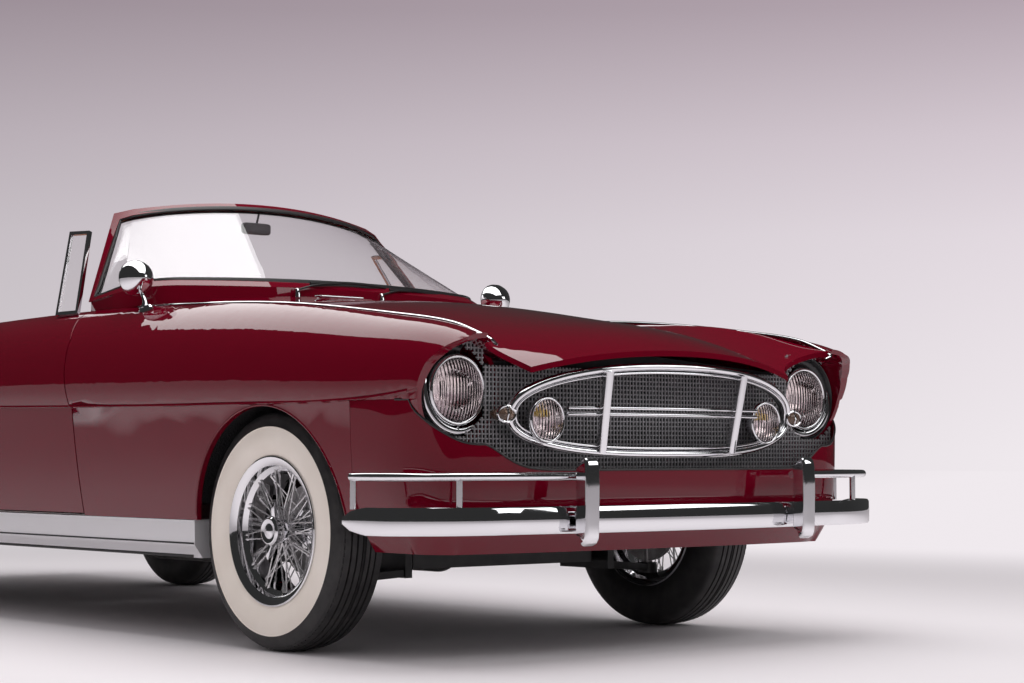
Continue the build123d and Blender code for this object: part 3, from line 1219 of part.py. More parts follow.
def vent_outline(inset):
    """Quarter window outline in its own plane, inset from the frame's outside."""
    with BuildSketch(VENT_PLANE) as outline:
        with BuildLine():
            corners = [VENT_PLANE.to_local_coords(Vector(*c)) for c in VENT_CORNERS]
            Polyline(*[(c.X, c.Y) for c in corners], close=True)
        make_face()
        if inset:
            offset(amount=-inset)
    return outline.sketch


with BuildPart() as vent_frame:
    extrude(vent_outline(0), VENT_T / 2, both=True)
    extrude(vent_outline(VENT_BAR), VENT_T, both=True, mode=Mode.SUBTRACT)
    add(OUTER, mode=Mode.SUBTRACT)
save_pair(vent_frame.part, "vent_frame")

with BuildPart() as vent_glass:
    extrude(vent_outline(VENT_BAR + SEAT_GAP), 2.5, both=True)
    add(OUTER, mode=Mode.SUBTRACT)
save_pair(vent_glass.part, "vent_glass")
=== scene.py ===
import json
from math import atan2, cos, hypot, pi, radians, sin, sqrt
import bmesh
import bpy
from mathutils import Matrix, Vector


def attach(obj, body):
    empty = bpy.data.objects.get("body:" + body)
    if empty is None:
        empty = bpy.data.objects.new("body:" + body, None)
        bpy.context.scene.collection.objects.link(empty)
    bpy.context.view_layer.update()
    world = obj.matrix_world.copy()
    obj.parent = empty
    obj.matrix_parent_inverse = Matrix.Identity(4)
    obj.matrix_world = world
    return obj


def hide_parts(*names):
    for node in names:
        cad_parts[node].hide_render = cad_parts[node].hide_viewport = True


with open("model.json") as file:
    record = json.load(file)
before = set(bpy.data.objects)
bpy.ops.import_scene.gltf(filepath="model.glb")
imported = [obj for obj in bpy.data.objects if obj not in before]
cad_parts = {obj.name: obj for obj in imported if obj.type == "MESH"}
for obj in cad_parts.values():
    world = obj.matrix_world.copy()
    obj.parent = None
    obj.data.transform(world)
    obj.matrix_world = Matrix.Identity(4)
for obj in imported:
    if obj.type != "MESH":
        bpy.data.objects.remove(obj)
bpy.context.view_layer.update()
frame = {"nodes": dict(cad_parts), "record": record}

MM = 0.001
nodes = frame["nodes"]
scene = bpy.context.scene
scene.view_settings.view_transform = "Standard"

# ---------------------------------------------------------------- sizes, in millimetres
FRONT_AXLE_X, REAR_AXLE_X, WHEEL_Y, TYRE_R = 1625.0, -1325.0, 750.0, 348.0
SIDE = (
    (-2480, 800, 792, 716, 985), (-2300, 836, 786, 728, 1016), (-1950, 862, 776, 742, 1036),
    (-1325, 879, 760, 756, 1036), (-700, 882, 746, 760, 1032), (-100, 882, 736, 758, 1042),
    (520, 882, 727, 755, 1048), (1105, 882, 720, 748, 1039), (1590, 881, 718, 740, 1014),
    (2096, 873, 722, 722, 958), (2300, 860, 740, 702, 926), (2434, 846, 764, 688, 880),
)
HEAD = (2312.0, 699.0, 743.0)
FOG = (2388.0, 441.0, 664.0)
PARKING = (2376.0, 579.0, 679.0)
GRILLE_X, GRILLE_END_X, GRILLE_HALF_W = 2456.0, 2378.0, 569.0
GRILLE_TOP_Z, GRILLE_LOW_Z = 828.0, 560.0


def at(table, x):
    """Row of a station table at x, eased between its rows."""
    rows = sorted(table)
    x = min(max(x, rows[0][0]), rows[-1][0])
    i = max(k for k in range(len(rows) - 1) if rows[k][0] <= x)
    a, b = rows[i], rows[i + 1]
    before, after = rows[max(i - 1, 0)], rows[min(i + 2, len(rows) - 1)]
    t = (x - a[0]) / (b[0] - a[0])
    values = []
    for k in range(1, len(a)):
        run = b[0] - a[0]
        start = (b[k] - before[k]) / (b[0] - before[0]) * run
        end = (after[k] - a[k]) / (after[0] - a[0]) * run
        values.append(
            (2 * t ** 3 - 3 * t ** 2 + 1) * a[k] + (t ** 3 - 2 * t ** 2 + t) * start
            + (-2 * t ** 3 + 3 * t ** 2) * b[k] + (t ** 3 - t ** 2) * end
        )
    return values


def linked(name, data):
    """A new object in the scene."""
    obj = bpy.data.objects.new(name, data)
    scene.collection.objects.link(obj)
    return obj


def add(tree, kind, inputs=None, **settings):
    """A new node; each input takes a value or another node's output."""
    made = tree.nodes.new(kind)
    for key, value in settings.items():
        setattr(made, key, value)
    for socket, value in (inputs or {}).items():
        if isinstance(value, bpy.types.NodeSocket):
            tree.links.new(value, made.inputs[socket])
        else:
            made.inputs[socket].default_value = value
    return made


# ---------------------------------------------------------------- camera
eye = bpy.data.cameras.new("studio_camera")
eye.lens = 75.8
eye.sensor_width = 36.0
eye.clip_end = 200.0
camera = linked("studio_camera", eye)
camera.location = (6.822, -4.388, 0.566)
camera.rotation_euler = (radians(93.03), 0.0, radians(49.24))
scene.camera = camera


# ---------------------------------------------------------------- finishes
def shader(name, colour, rough, metallic=0.0, **sockets):
    """Principled material; sockets are set by their names, with spaces as underscores."""
    material = bpy.data.materials.new(name)
    material.use_nodes = True
    bsdf = material.node_tree.nodes["Principled BSDF"]
    bsdf.inputs["Base Color"].default_value = (*colour, 1.0)
    bsdf.inputs["Roughness"].default_value = rough
    bsdf.inputs["Metallic"].default_value = metallic
    for key, value in sockets.items():
        bsdf.inputs[key.replace("_", " ")].default_value = value
    return material


def feed(material, socket, output):
    """Links an output into the material's surface."""
    tree = material.node_tree
    tree.links.new(output, tree.nodes["Principled BSDF"].inputs[socket])


def texture(material, kind="Noise", scale=50.0, stretch=(1, 1, 1), detail=4.0):
    """A pattern on the piece's own place in the car; gives its node."""
    tree = material.node_tree
    where = add(tree, "ShaderNodeTexCoord")
    mapping = add(tree, "ShaderNodeMapping", {"Vector": where.outputs["Object"], "Scale": stretch})
    inputs = {"Vector": mapping.outputs["Vector"], "Scale": scale, "Detail": detail}
    return add(tree, "ShaderNodeTex" + kind, inputs)


def tint(material, pattern, dark, light, low=0.35, high=0.65):
    """The pattern moves the colour between two tones."""
    ramp = add(material.node_tree, "ShaderNodeValToRGB", {"Fac": pattern.outputs[0]})
    for stop, place, tone in zip(ramp.color_ramp.elements, (low, high), (dark, light)):
        stop.position, stop.color = place, (*tone, 1)
    feed(material, "Base Color", ramp.outputs["Color"])


def roughen(material, pattern, low, high):
    """The pattern moves the roughness between two values."""
    spread = add(material.node_tree, "ShaderNodeMapRange",
                 {"Value": pattern.outputs[0], "To Min": low, "To Max": high})
    feed(material, "Roughness", spread.outputs["Result"])


def emboss(material, pattern, depth, strength=1.0):
    """The pattern stands out of the surface by depth metres."""
    bump = add(material.node_tree, "ShaderNodeBump",
               {"Height": pattern.outputs[0], "Strength": strength, "Distance": depth})
    feed(material, "Normal", bump.outputs["Normal"])


cherry = shader("cherry_lacquer", (0.15, 0.002, 0.010), 0.45, 0.0, Coat_Weight=1.0, Coat_Roughness=0.012,
                Coat_IOR=1.5, Specular_IOR_Level=0.0)
tint(cherry, texture(cherry, scale=2200.0, detail=1.0), (0.095, 0.0003, 0.006), (0.165, 0.0008, 0.013))
roughen(cherry, texture(cherry, scale=3.0), 0.40, 0.50)

chrome = shader("chrome_plate", (0.80, 0.80, 0.82), 0.05, 1.0)
roughen(chrome, texture(chrome, scale=9.0), 0.035, 0.075)
brushed = shader("brushed_alloy", (0.62, 0.62, 0.64), 0.28, 1.0)
roughen(brushed, texture(brushed, scale=220.0, stretch=(0.02, 1, 1)), 0.2, 0.36)
chassis = shader("chassis_enamel", (0.012, 0.012, 0.013), 0.42)
tint(chassis, texture(chassis, scale=14.0), (0.008, 0.008, 0.009), (0.022, 0.021, 0.021))
roughen(chassis, texture(chassis, scale=30.0), 0.3, 0.6)
arch_coat = shader("arch_undercoat", (0.012, 0.012, 0.013), 0.8)
speckle = texture(arch_coat, "Voronoi", scale=160.0)
tint(arch_coat, speckle, (0.09, 0.08, 0.07), (0.008, 0.008, 0.009), 0.02, 0.12)
emboss(arch_coat, speckle, 0.002)
mesh_enamel = shader("mesh_enamel", (0.03, 0.03, 0.032), 0.28, 0.3)
roughen(mesh_enamel, texture(mesh_enamel, scale=60.0), 0.2, 0.4)
mesh_grey = shader("grey_mesh_paint", (0.36, 0.355, 0.37), 0.36, 0.5)
roughen(mesh_grey, texture(mesh_grey, scale=60.0), 0.26, 0.44)
rubber = shader("gasket_rubber", (0.014, 0.013, 0.014), 0.42)
roughen(rubber, texture(rubber, scale=120.0), 0.34, 0.52)
tyre_black = shader("tyre_rubber", (0.020, 0.019, 0.020), 0.55)
tint(tyre_black, texture(tyre_black, scale=24.0), (0.014, 0.013, 0.014), (0.030, 0.028, 0.028))
emboss(tyre_black, texture(tyre_black, scale=700.0), 0.0002)
whitewall = shader("whitewall_rubber", (0.84, 0.77, 0.69), 0.5)
tint(whitewall, texture(whitewall, scale=6.0), (0.81, 0.735, 0.655), (0.87, 0.80, 0.725))
emboss(whitewall, texture(whitewall, scale=400.0), 0.0002)
leather = shader("tan_leather", (0.36, 0.12, 0.045), 0.45, Sheen_Weight=0.1)
tint(leather, texture(leather, scale=9.0), (0.30, 0.092, 0.034), (0.42, 0.15, 0.06))
emboss(leather, texture(leather, "Voronoi", scale=420.0), 0.0006, 0.6)
carpet = shader("cut_pile_carpet", (0.07, 0.012, 0.014), 0.95, Sheen_Weight=0.4)
tint(carpet, texture(carpet, scale=900.0), (0.035, 0.006, 0.008), (0.11, 0.02, 0.022))
emboss(carpet, texture(carpet, scale=900.0), 0.002)
canvas = shader("top_canvas", (0.62, 0.57, 0.50), 0.9, Sheen_Weight=0.3)
weave = texture(canvas, "Wave", scale=260.0)
tint(canvas, weave, (0.50, 0.455, 0.39), (0.66, 0.615, 0.55), 0.2, 0.8)
emboss(canvas, weave, 0.0005)
wood = shader("varnished_wood", (0.42, 0.13, 0.03), 0.2, Coat_Weight=0.8, Coat_Roughness=0.05)
tint(wood, texture(wood, scale=30.0, stretch=(1, 1, 7)), (0.26, 0.06, 0.014), (0.55, 0.19, 0.05))
cast_iron = shader("engine_paint", (0.20, 0.21, 0.22), 0.5, 0.3)
tint(cast_iron, texture(cast_iron, scale=40.0), (0.14, 0.15, 0.16), (0.24, 0.25, 0.26))
steel = shader("bare_steel", (0.34, 0.33, 0.33), 0.4, 0.9)
tint(steel, texture(steel, scale=26.0), (0.24, 0.23, 0.23), (0.40, 0.39, 0.39))
screen_glass = shader("windshield_glass", (1.0, 1.0, 1.0), 0.0, Transmission_Weight=1.0, IOR=1.45)
lens = shader("fluted_lens", (1.0, 0.93, 0.92), 0.03, Transmission_Weight=1.0, IOR=1.25)
flutes = texture(lens, "Wave", scale=30.0, stretch=(0, 1, 0))
flutes.bands_direction = "Y"
flutes.wave_profile = "SIN"
emboss(lens, flutes, 0.004, 0.8)
reflector = shader("silvered_bowl", (0.86, 0.86, 0.87), 0.12, 1.0)
roughen(reflector, texture(reflector, scale=40.0), 0.08, 0.2)
amber = shader("smoked_lens", (0.30, 0.20, 0.15), 0.08, Transmission_Weight=0.7, IOR=1.4)
yellow = shader("selective_yellow_lens", (0.95, 0.72, 0.12), 0.12, Transmission_Weight=0.5)
ruby = shader("ruby_lens", (0.50, 0.008, 0.010), 0.06, Transmission_Weight=0.35, Coat_Weight=1.0)
emboss(ruby, texture(ruby, "Wave", scale=60.0, stretch=(0, 0, 1)), 0.001)
for finish, ribs in ((amber, 90.0), (yellow, 60.0)):
    emboss(finish, texture(finish, "Wave", scale=ribs, stretch=(0, 1, 0)), 0.001)
dial = shader("dial_face", (0.012, 0.012, 0.013), 0.3)
roughen(dial, texture(dial, scale=90.0), 0.2, 0.4)


# a finish with the body it rides and the slot it fills
CHROME = (chrome, "car_body", "chrome")
PAINT = (cherry, "car_body", "red_paint")
HIDE = (leather, "car_body", "leather")
GASKET = (rubber, "car_body", "grille_black")
SOFT_BLACK = (rubber, "car_body", "chrome")
SILVER = (reflector, "car_body", "lamp_glass")
CLEAR = (lens, "car_body", "lamp_glass")
RUBY = (ruby, "car_body", "red_lens")
SIDES = (("left", 1), ("right", -1))
SEAM, SLIVER = 0.00002, 0.00001


# ---------------------------------------------------------------- piece making
def closed_mesh(name, points, faces, slivers=False):
    """A mesh from points in millimetres, with closed seams and outward faces, and no slivers if asked."""
    mesh = bpy.data.meshes.new(name)
    mesh.from_pydata([tuple(v * MM for v in p) for p in points], [], faces)
    shape = bmesh.new()
    shape.from_mesh(mesh)
    bmesh.ops.remove_doubles(shape, verts=shape.verts, dist=SEAM)
    if slivers:
        bmesh.ops.dissolve_degenerate(shape, edges=shape.edges, dist=SLIVER)
    bmesh.ops.recalc_face_normals(shape, faces=shape.faces)
    shape.to_mesh(mesh)
    shape.free()
    return mesh


def piece(name, points, faces, material, body, slot, crease=32.0):
    """A finished piece from points in millimetres."""
    return placed(name, closed_mesh(name, points, faces, True), material, body, slot, crease)


def placed(name, mesh, material, body, slot, crease=32.0):
    """Puts a finished mesh on its body with its material."""
    mesh.shade_smooth()
    mesh.set_sharp_from_angle(angle=radians(crease))
    mesh.materials.clear()
    mesh.materials.append(material)
    obj = linked(name, mesh)
    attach(obj, body)
    return obj


def evaluated(obj):
    """A plain mesh of the object as its modifiers leave it."""
    graph = bpy.context.evaluated_depsgraph_get()
    return bpy.data.meshes.new_from_object(obj.evaluated_get(graph))


def rows_faces(count, width, closed_row=True, closed_run=False, caps=True):
    """Faces between rows of points, each row `width` long."""
    faces = []
    for i in range(count if closed_run else count - 1):
        j = (i + 1) % count
        for k in range(width if closed_row else width - 1):
            m = (k + 1) % width
            faces.append((i * width + k, i * width + m, j * width + m, j * width + k))
    if caps and closed_row and not closed_run:
        faces.append(tuple(range(width)))
        faces.append(tuple(reversed([(count - 1) * width + k for k in range(width)])))
    return faces


def turned(profile, centre, axis, segments=64, start=0.0, sweep=2 * pi):
    """Points and faces of a profile of (along, radius) turned about an axis: 'x', 'y', '-y' or 'z'."""
    points = []
    full = abs(sweep - 2 * pi) < 1e-6
    steps = segments if full else segments + 1
    for i in range(steps):
        a = start + sweep * i / segments
        for along, r in profile:
            r = max(r, 0.0)
            if axis == "x":
                points.append((centre[0] + along, centre[1] + r * cos(a), centre[2] + r * sin(a)))
            elif axis == "z":
                points.append((centre[0] + r * cos(a), centre[1] + r * sin(a), centre[2] + along))
            else:
                way = 1 if axis == "y" else -1
                points.append((centre[0] + r * cos(a), centre[1] + way * along, centre[2] + r * sin(a)))
    closed_profile = profile[0] == profile[-1]
    width = len(profile)
    faces = rows_faces(steps, width, False, full)
    if not full and closed_profile:
        faces.append(tuple(range(width - 1)))
        faces.append(tuple((steps - 1) * width + k for k in range(width - 1)))
    return points, faces


def turned_piece(name, profile, centre, axis, material, body, slot, segments=64, crease=32.0, **turn):
    """A piece turned about an axis."""
    points, faces = turned(profile, centre, axis, segments, **turn)
    return piece(name, points, faces, material, body, slot, crease)


def swept(path, section, up=(0, 0, 1), closed=False, scale=None):
    """Points and faces of a closed section of (across, up) carried along a path."""
    path = [Vector(p) for p in path]
    n = len(path)
    points = []
    for i, p in enumerate(path):
        ahead = path[(i + 1) % n] if closed or i < n - 1 else path[i]
        back = path[i - 1] if closed or i > 0 else path[i]
        run = (ahead - back).normalized()
        lift = Vector(up[i] if isinstance(up, list) else up)
        across = run.cross(lift).normalized()
        lift = across.cross(run).normalized()
        s = scale[i] if scale else 1.0
        for a, b in section:
            points.append(tuple(p + across * (a * s) + lift * (b * s)))
    return points, rows_faces(n, len(section), True, closed)


def swept_piece(name, path, section, material, body, slot, up=(0, 0, 1), closed=False, scale=None,
                crease=32.0):
    """A piece with one section all along a path."""
    points, faces = swept(path, section, up, closed, scale)
    return piece(name, points, faces, material, body, slot, crease)


def lofted(name, rows, material, body, slot, crease=32.0):
    """A piece through rows of points, each row a closed loop."""
    points = [p for row in rows for p in row]
    return piece(name, points, rows_faces(len(rows), len(rows[0])), material, body, slot, crease)


def round_section(radius, sides=10):
    """Round section about its middle."""
    return [(radius * cos(2 * pi * k / sides), radius * sin(2 * pi * k / sides)) for k in range(sides)]


def squared(value, power):
    """A value from -1 to 1, pushed out towards its ends."""
    return abs(value) ** power * (1 if value > 0 else -1)


def pad_section(width, height, corner, steps=3):
    """Rounded rectangle about its middle."""
    points = []
    for cx, cy, start in ((1, 1, 0), (-1, 1, 90), (-1, -1, 180), (1, -1, 270)):
        for k in range(steps + 1):
            a = radians(start + 90 * k / steps)
            points.append((
                cx * (width / 2 - corner) + corner * cos(a), cy * (height / 2 - corner) + corner * sin(a),
            ))
    return points


def arc_through(a, b, c, count):
    """Points on the circle through three plan points."""
    (ax, ay), (bx, by), (cx, cy) = a, b, c
    d = 2 * (ax * (by - cy) + bx * (cy - ay) + cx * (ay - by))
    if abs(d) < 1e-6:
        return [(ax + (cx - ax) * k / count, ay + (cy - ay) * k / count) for k in range(count + 1)]
    aa, bb, cc = ax * ax + ay * ay, bx * bx + by * by, cx * cx + cy * cy
    ux = (aa * (by - cy) + bb * (cy - ay) + cc * (ay - by)) / d
    uy = (aa * (cx - bx) + bb * (ax - cx) + cc * (bx - ax)) / d
    r = hypot(ax - ux, ay - uy)
    start = atan2(ay - uy, ax - ux)
    middle = (atan2(by - uy, bx - ux) - start + pi) % (2 * pi) - pi
    end = (atan2(cy - uy, cx - ux) - start) % (2 * pi)
    if middle < 0:
        end -= 2 * pi
    return [(ux + r * cos(start + end * k / count), uy + r * sin(start + end * k / count))
            for k in range(count + 1)]


def smooth_path(points, count):
    """Even points along a curve through the given points."""
    rows = [(i, *p) for i, p in enumerate(points)]
    return [at(rows, (len(points) - 1) * k / (count - 1)) for k in range(count)]


def joined(parts):
    """Several sets of points and faces as one."""
    points, faces = [], []
    for part_points, part_faces in parts:
        base = len(points)
        points.extend(part_points)
        faces.extend(tuple(i + base for i in f) for f in part_faces)
    return points, faces


# ---------------------------------------------------------------- repeats, made by node trees
def new_tree(name, sockets):
    """A tree that takes and gives geometry, with more inputs; gives the tree and its inputs."""
    tree = bpy.data.node_groups.new(name, "GeometryNodeTree")
    for label, kind in (("Geometry", "Geometry"), *sockets, ("Finish", "Material")):
        tree.interface.new_socket(label, in_out="INPUT", socket_type="NodeSocket" + kind)
    tree.interface.new_socket("Geometry", in_out="OUTPUT", socket_type="NodeSocketGeometry")
    return tree, add(tree, "NodeGroupInput").outputs


def copied(tree, points, part, **how):
    """The part on each of the points."""
    copies = add(tree, "GeometryNodeInstanceOnPoints", {"Points": points, "Instance": part, **how})
    real = add(tree, "GeometryNodeRealizeInstances", {"Geometry": copies.outputs["Instances"]})
    return real.outputs["Geometry"]


def ended(tree, given, geometry):
    """Ends a tree with the finish that it was given."""
    finish = add(tree, "GeometryNodeSetMaterial", {"Geometry": geometry, "Material": given["Finish"]})
    add(tree, "NodeGroupOutput", {"Geometry": finish.outputs["Geometry"]})
    return tree


def ring_tree():
    """Repeats a part round the axle line through Centre."""
    tree, given = new_tree("repeat_round_axle", (("Count", "Int"), ("Centre", "Vector"),
                                                 ("Axis Turn", "Vector")))
    row = add(tree, "GeometryNodeMeshLine", {"Count": given["Count"], "Offset": (0, 0, 0)})
    index = add(tree, "GeometryNodeInputIndex")
    share = add(tree, "ShaderNodeMath", {0: index.outputs[0], 1: given["Count"]}, operation="DIVIDE")
    turn = add(tree, "ShaderNodeVectorMath", {0: given["Axis Turn"], "Scale": share.outputs[0]},
               operation="SCALE")
    ring = copied(tree, row.outputs["Mesh"], given["Geometry"], Rotation=turn.outputs["Vector"])
    shift = add(tree, "GeometryNodeTransform", {"Geometry": ring, "Translation": given["Centre"]})
    return ended(tree, given, shift.outputs["Geometry"])


def grid_tree():
    """Repeats a part in two directions from its own place."""
    tree, given = new_tree("repeat_in_rows", (
        ("Columns", "Int"), ("Rows", "Int"), ("Column Step", "Vector"), ("Row Step", "Vector"),
    ))
    part = given["Geometry"]
    for count, step in (("Columns", "Column Step"), ("Rows", "Row Step")):
        row = add(tree, "GeometryNodeMeshLine", {"Count": given[count], "Offset": given[step]})
        part = copied(tree, row.outputs["Mesh"], part)
    return ended(tree, given, part)


def sheet_tree():
    """Repeats one cell over an upright sheet, leaving a round hole for a lamp."""
    tree, given = new_tree("stamped_mesh", (
        ("Width", "Float"), ("Height", "Float"), ("Columns", "Int"), ("Rows", "Int"), ("Middle", "Vector"),
        ("Hole Centre", "Vector"), ("Hole Radius", "Float"),
    ))
    plate = add(tree, "GeometryNodeMeshGrid", {
        "Size X": given["Width"], "Size Y": given["Height"],
        "Vertices X": given["Columns"], "Vertices Y": given["Rows"],
    })
    stand = add(tree, "GeometryNodeTransform", {
        "Geometry": plate.outputs["Mesh"], "Translation": given["Middle"], "Rotation": (pi / 2, 0, pi / 2),
    })
    where = add(tree, "GeometryNodeInputPosition")
    away = add(tree, "ShaderNodeVectorMath", {0: where.outputs[0], 1: given["Hole Centre"]},
               operation="DISTANCE")
    inside = add(tree, "FunctionNodeCompare", {0: away.outputs["Value"], 1: given["Hole Radius"]},
                 operation="LESS_THAN")
    left = add(tree, "GeometryNodeDeleteGeometry",
               {"Geometry": stand.outputs["Geometry"], "Selection": inside.outputs[0]})
    return ended(tree, given, copied(tree, left.outputs["Geometry"], given["Geometry"]))


RING, ROWS, SHEET = ring_tree(), grid_tree(), sheet_tree()


def repeated(name, points, faces, tree, material, body, slot, crease=32.0, **inputs):
    """Runs a repeating tree on a small part and keeps the result as a plain mesh."""
    maker = linked(name + "_maker", closed_mesh(name + "_one", points, faces))
    modifier = maker.modifiers.new("repeat", "NODES")
    modifier.node_group = tree
    values = {key.replace("_", " "): value for key, value in inputs.items()}
    values["Finish"] = material
    for item in tree.interface.items_tree:
        if item.item_type == "SOCKET" and item.in_out == "INPUT" and item.name in values:
            modifier[item.identifier] = values[item.name]
    maker.update_tag()
    result = evaluated(maker)
    bpy.data.objects.remove(maker)
    return placed(name, result, material, body, slot, crease)


# ---------------------------------------------------------------- CAD panels and their finishes
FINISH = {"red_paint": cherry, "chassis_black": chassis, "chrome": chrome, "glass": screen_glass,
          "lamp_glass": reflector, "amber_lens": amber, "red_lens": ruby, "grille_black": mesh_enamel,
          "tyre": tyre_black, "engine_grey": cast_iron, "leather": leather, "canvas": canvas,
          "wheel_wood": wood, "steel": steel}
SLOT = {part["node"]: part["material_slot"] for part in frame["record"]["subparts"]}
for name, obj in nodes.items():
    obj.data.materials.clear()
    obj.data.materials.append(FINISH[SLOT[name]])
sill_alloy = shader("polished_sill_alloy", (0.80, 0.79, 0.81), 0.30, 0.45)
roughen(sill_alloy, texture(sill_alloy, scale=12.0, stretch=(0.1, 1, 1)), 0.24, 0.38)
for name, finish in (("wheel_houses", arch_coat), ("floor_tub", carpet), ("boot_floor", carpet),
                     ("sill_left", sill_alloy), ("sill_right", sill_alloy)):
    nodes[name].data.materials[0] = finish
bright_wire = shader("bright_spoke_wire", (0.80, 0.79, 0.80), 0.22, 0.7)
roughen(bright_wire, texture(bright_wire, scale=90.0), 0.16, 0.30)

# ---------------------------------------------------------------- front fenders
# side view of what is cut off the fender's nose, so that it leans back above the lamp
RAKE = ((2300, 590), (2310, 640), (2334, 740), (2366, 810), (2400, 850), (2439, 880), (2600, 880),
        (2600, 500), (2300, 500))
INBOARD = ((2314, 540), (2560, 540), (2560, 960), (2314, 960))


def cut_away(skin, label, outline, y0, y1):
    """Takes a side view outline off the skin between two planes; gives the knife."""
    points = [(x, y, z) for y in sorted((y0, y1)) for x, z in outline]
    knife = linked(f"{label}_cutter", closed_mesh(f"{label}_cutter", points, rows_faces(2, len(outline))))
    cut = skin.modifiers.new(label, "BOOLEAN")
    cut.operation, cut.solver, cut.object = "DIFFERENCE", "EXACT", knife
    return knife


for side, way in SIDES:
    shape = bmesh.new()
    shape.from_mesh(nodes[f"front_fender_{side}"].data)
    bmesh.ops.remove_doubles(shape, verts=shape.verts, dist=SEAM)
    mesh = bpy.data.meshes.new(f"front_fender_{side}_skin")
    shape.to_mesh(mesh)
    shape.free()
    mesh.materials.append(cherry)
    skin = linked(f"front_fender_{side}_skin", mesh)
    knives = [
        cut_away(skin, "inboard", INBOARD, way * 400, way * 694),
        cut_away(skin, "rake", RAKE, way * 560, way * 960),
    ]
    opened = evaluated(skin)
    for gone in (skin, *knives):
        bpy.data.objects.remove(gone)
    fender = placed(f"front_fender_{side}_skin", opened, *PAINT, 30.0)
    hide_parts(f"front_fender_{side}")

# ---------------------------------------------------------------- nose below the lamps and the grille
FLANK_LOW_Y, FLANK_LOW_Z = 842.0, 372.0
NOSE_LOW_Z, NOSE_LEVELS, NOSE_COLUMNS, NOSE_WALL = 300, 18, 56, 5.0
NOSE_TUCK = ((300, 66), (330, 46), (360, 28), (400, 12), (450, 4), (520, 0), (760, 0))
NOSE_TOP = ((0, 527), (420, 527), (500, 529), (540, 534), (580, 546), (620, 566), (650, 585), (675, 596),
            (699, 596), (740, 603), (780, 624), (810, 650), (830, 680), (842, 712), (900, 716.5))


def flank_y(x, z):
    """Half width of the body's flank below the crease."""
    row = at(SIDE, x)
    share = min(1.0, max(0.0, (z - FLANK_LOW_Z) / (row[1] - 5 - FLANK_LOW_Z)))
    return FLANK_LOW_Y + (row[0] - 9 - FLANK_LOW_Y) * (share + 0.64 * share * (1 - share))


def nose_plan(z, inset):
    """Half plan of the nose at a height, from the fender's flank round to the middle."""
    corner = flank_y(2215, z)
    points = [(2054, flank_y(2054, z)), (2130, flank_y(2130, z)), (2215, corner), (2280, corner - 9),
              (2330, corner - 30), (2366, 782), (2392, 730), (2408, 676), (2425, 560), (2438, 400),
              (2446, 200), (2448, 0)]
    line = []
    shares = ((1.0, 0.0),) * 3 + ((0.8, 0.5),) * 3 + ((0.4, 0.9),) * 2 + ((0.1, 1.0),) * 4
    for (x, y), (side_share, front_share) in zip(points, shares):
        line.append((x - inset * front_share, max(0.0, y - inset * side_share) if y else 0.0))
    return smooth_path(line, NOSE_COLUMNS)


columns = []
for k in range(NOSE_COLUMNS):
    foot_x, foot_y = nose_plan(520, 0)[k]
    top = 716.5 if foot_x < 2300 else at(NOSE_TOP, foot_y)[0]
    levels = [NOSE_LOW_Z + (top - NOSE_LOW_Z) * j / (NOSE_LEVELS - 1) for j in range(NOSE_LEVELS)]
    outer = [(*nose_plan(z, at(NOSE_TUCK, z)[0])[k], z) for z in levels]
    inner = [(*nose_plan(z, at(NOSE_TUCK, z)[0] + NOSE_WALL)[k], z) for z in levels]
    columns.append(outer + inner[::-1])
rows = columns + [[(x, -y, z) for x, y, z in column] for column in reversed(columns[:-1])]
nose = lofted("nose_skin", rows, *PAINT, 40.0)
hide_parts("nose_panel")
edge = [column[NOSE_LEVELS - 1] for column in columns[12:]]
edge = [(x - 1, y, z) for x, y, z in edge] + [(x - 1, -y, z) for x, y, z in reversed(edge[:-1])]
swept_piece("nose_edge_welt", edge, round_section(3.4, 8), *GASKET)

for side, way in SIDES:
    for place, middle, radius in (("front", 1632.0, 385.0), ("rear", -1325.0, 372.0)):
        lip = []
        for k in range(61):
            a = radians(9 + 162 * k / 60)
            x, z = middle + (radius + 1.5) * cos(a), 325 + (radius + 1.5) * sin(a)
            lip.append((x, way * (flank_y(x, z) + 0.4), z))
        swept_piece(f"{place}_arch_lip_{side}", lip, round_section(3.2, 8), *PAINT, (0, way, 0))

# ---------------------------------------------------------------- wheels and tyres
WALL = ((66, 208), (72, 214), (80, 224), (88, 242), (91.5, 262), (90.5, 282), (87.5, 296), (87.2, 299),
        (88.6, 301), (87.4, 303))
SHOULDER = ((87.4, 303), (85.5, 306), (82, 320), (76, 333), (70, 340), (66.5, 341.5), (64.5, 338.5),
            (62.5, 342.5))
RIBS = ((62.5, 342.5), (46, 345.5), (45, 339), (41, 339), (40, 346), (26, 347), (25, 340), (21, 340),
        (20, 347.2), (7, 348), (6, 341), (2, 341), (1, 348))
TREAD = RIBS + tuple((-a, r) for a, r in reversed(RIBS))
INNER_WALL = ((-62.5, 342.5), (-70, 340), (-76, 333), (-84, 315), (-91, 290), (-91.5, 262), (-88, 242),
              (-76, 220), (-66, 208), (-60, 199.5), (60, 199.5), (66, 208))
RIM = ((80, 209), (81.5, 214), (80, 218), (76.5, 218.5), (74.5, 214), (73.5, 206), (70, 199.5), (56, 197),
       (50, 194), (40, 181), (0, 178), (-40, 181), (-50, 194), (-70, 199.5), (-74, 214), (-78, 218),
       (-81, 214), (-79, 205), (-73, 194), (-53, 188), (-42, 174), (0, 171), (42, 174), (53, 188), (70, 191),
       (76, 198), (80, 209))
HUB = ((-44, 24), (-44, 58), (-36, 62), (-30, 58), (-24, 42), (-8, 34), (30, 30), (38, 33), (44, 37),
       (49, 35), (52, 28), (54, 24), (54, 0))
KNOCK_OFF = ((50, 20), (53, 34), (60, 40), (74, 43), (84, 42), (89, 38), (90, 35), (88, 31), (86, 24),
             (87, 16), (91, 9), (92.5, 0))


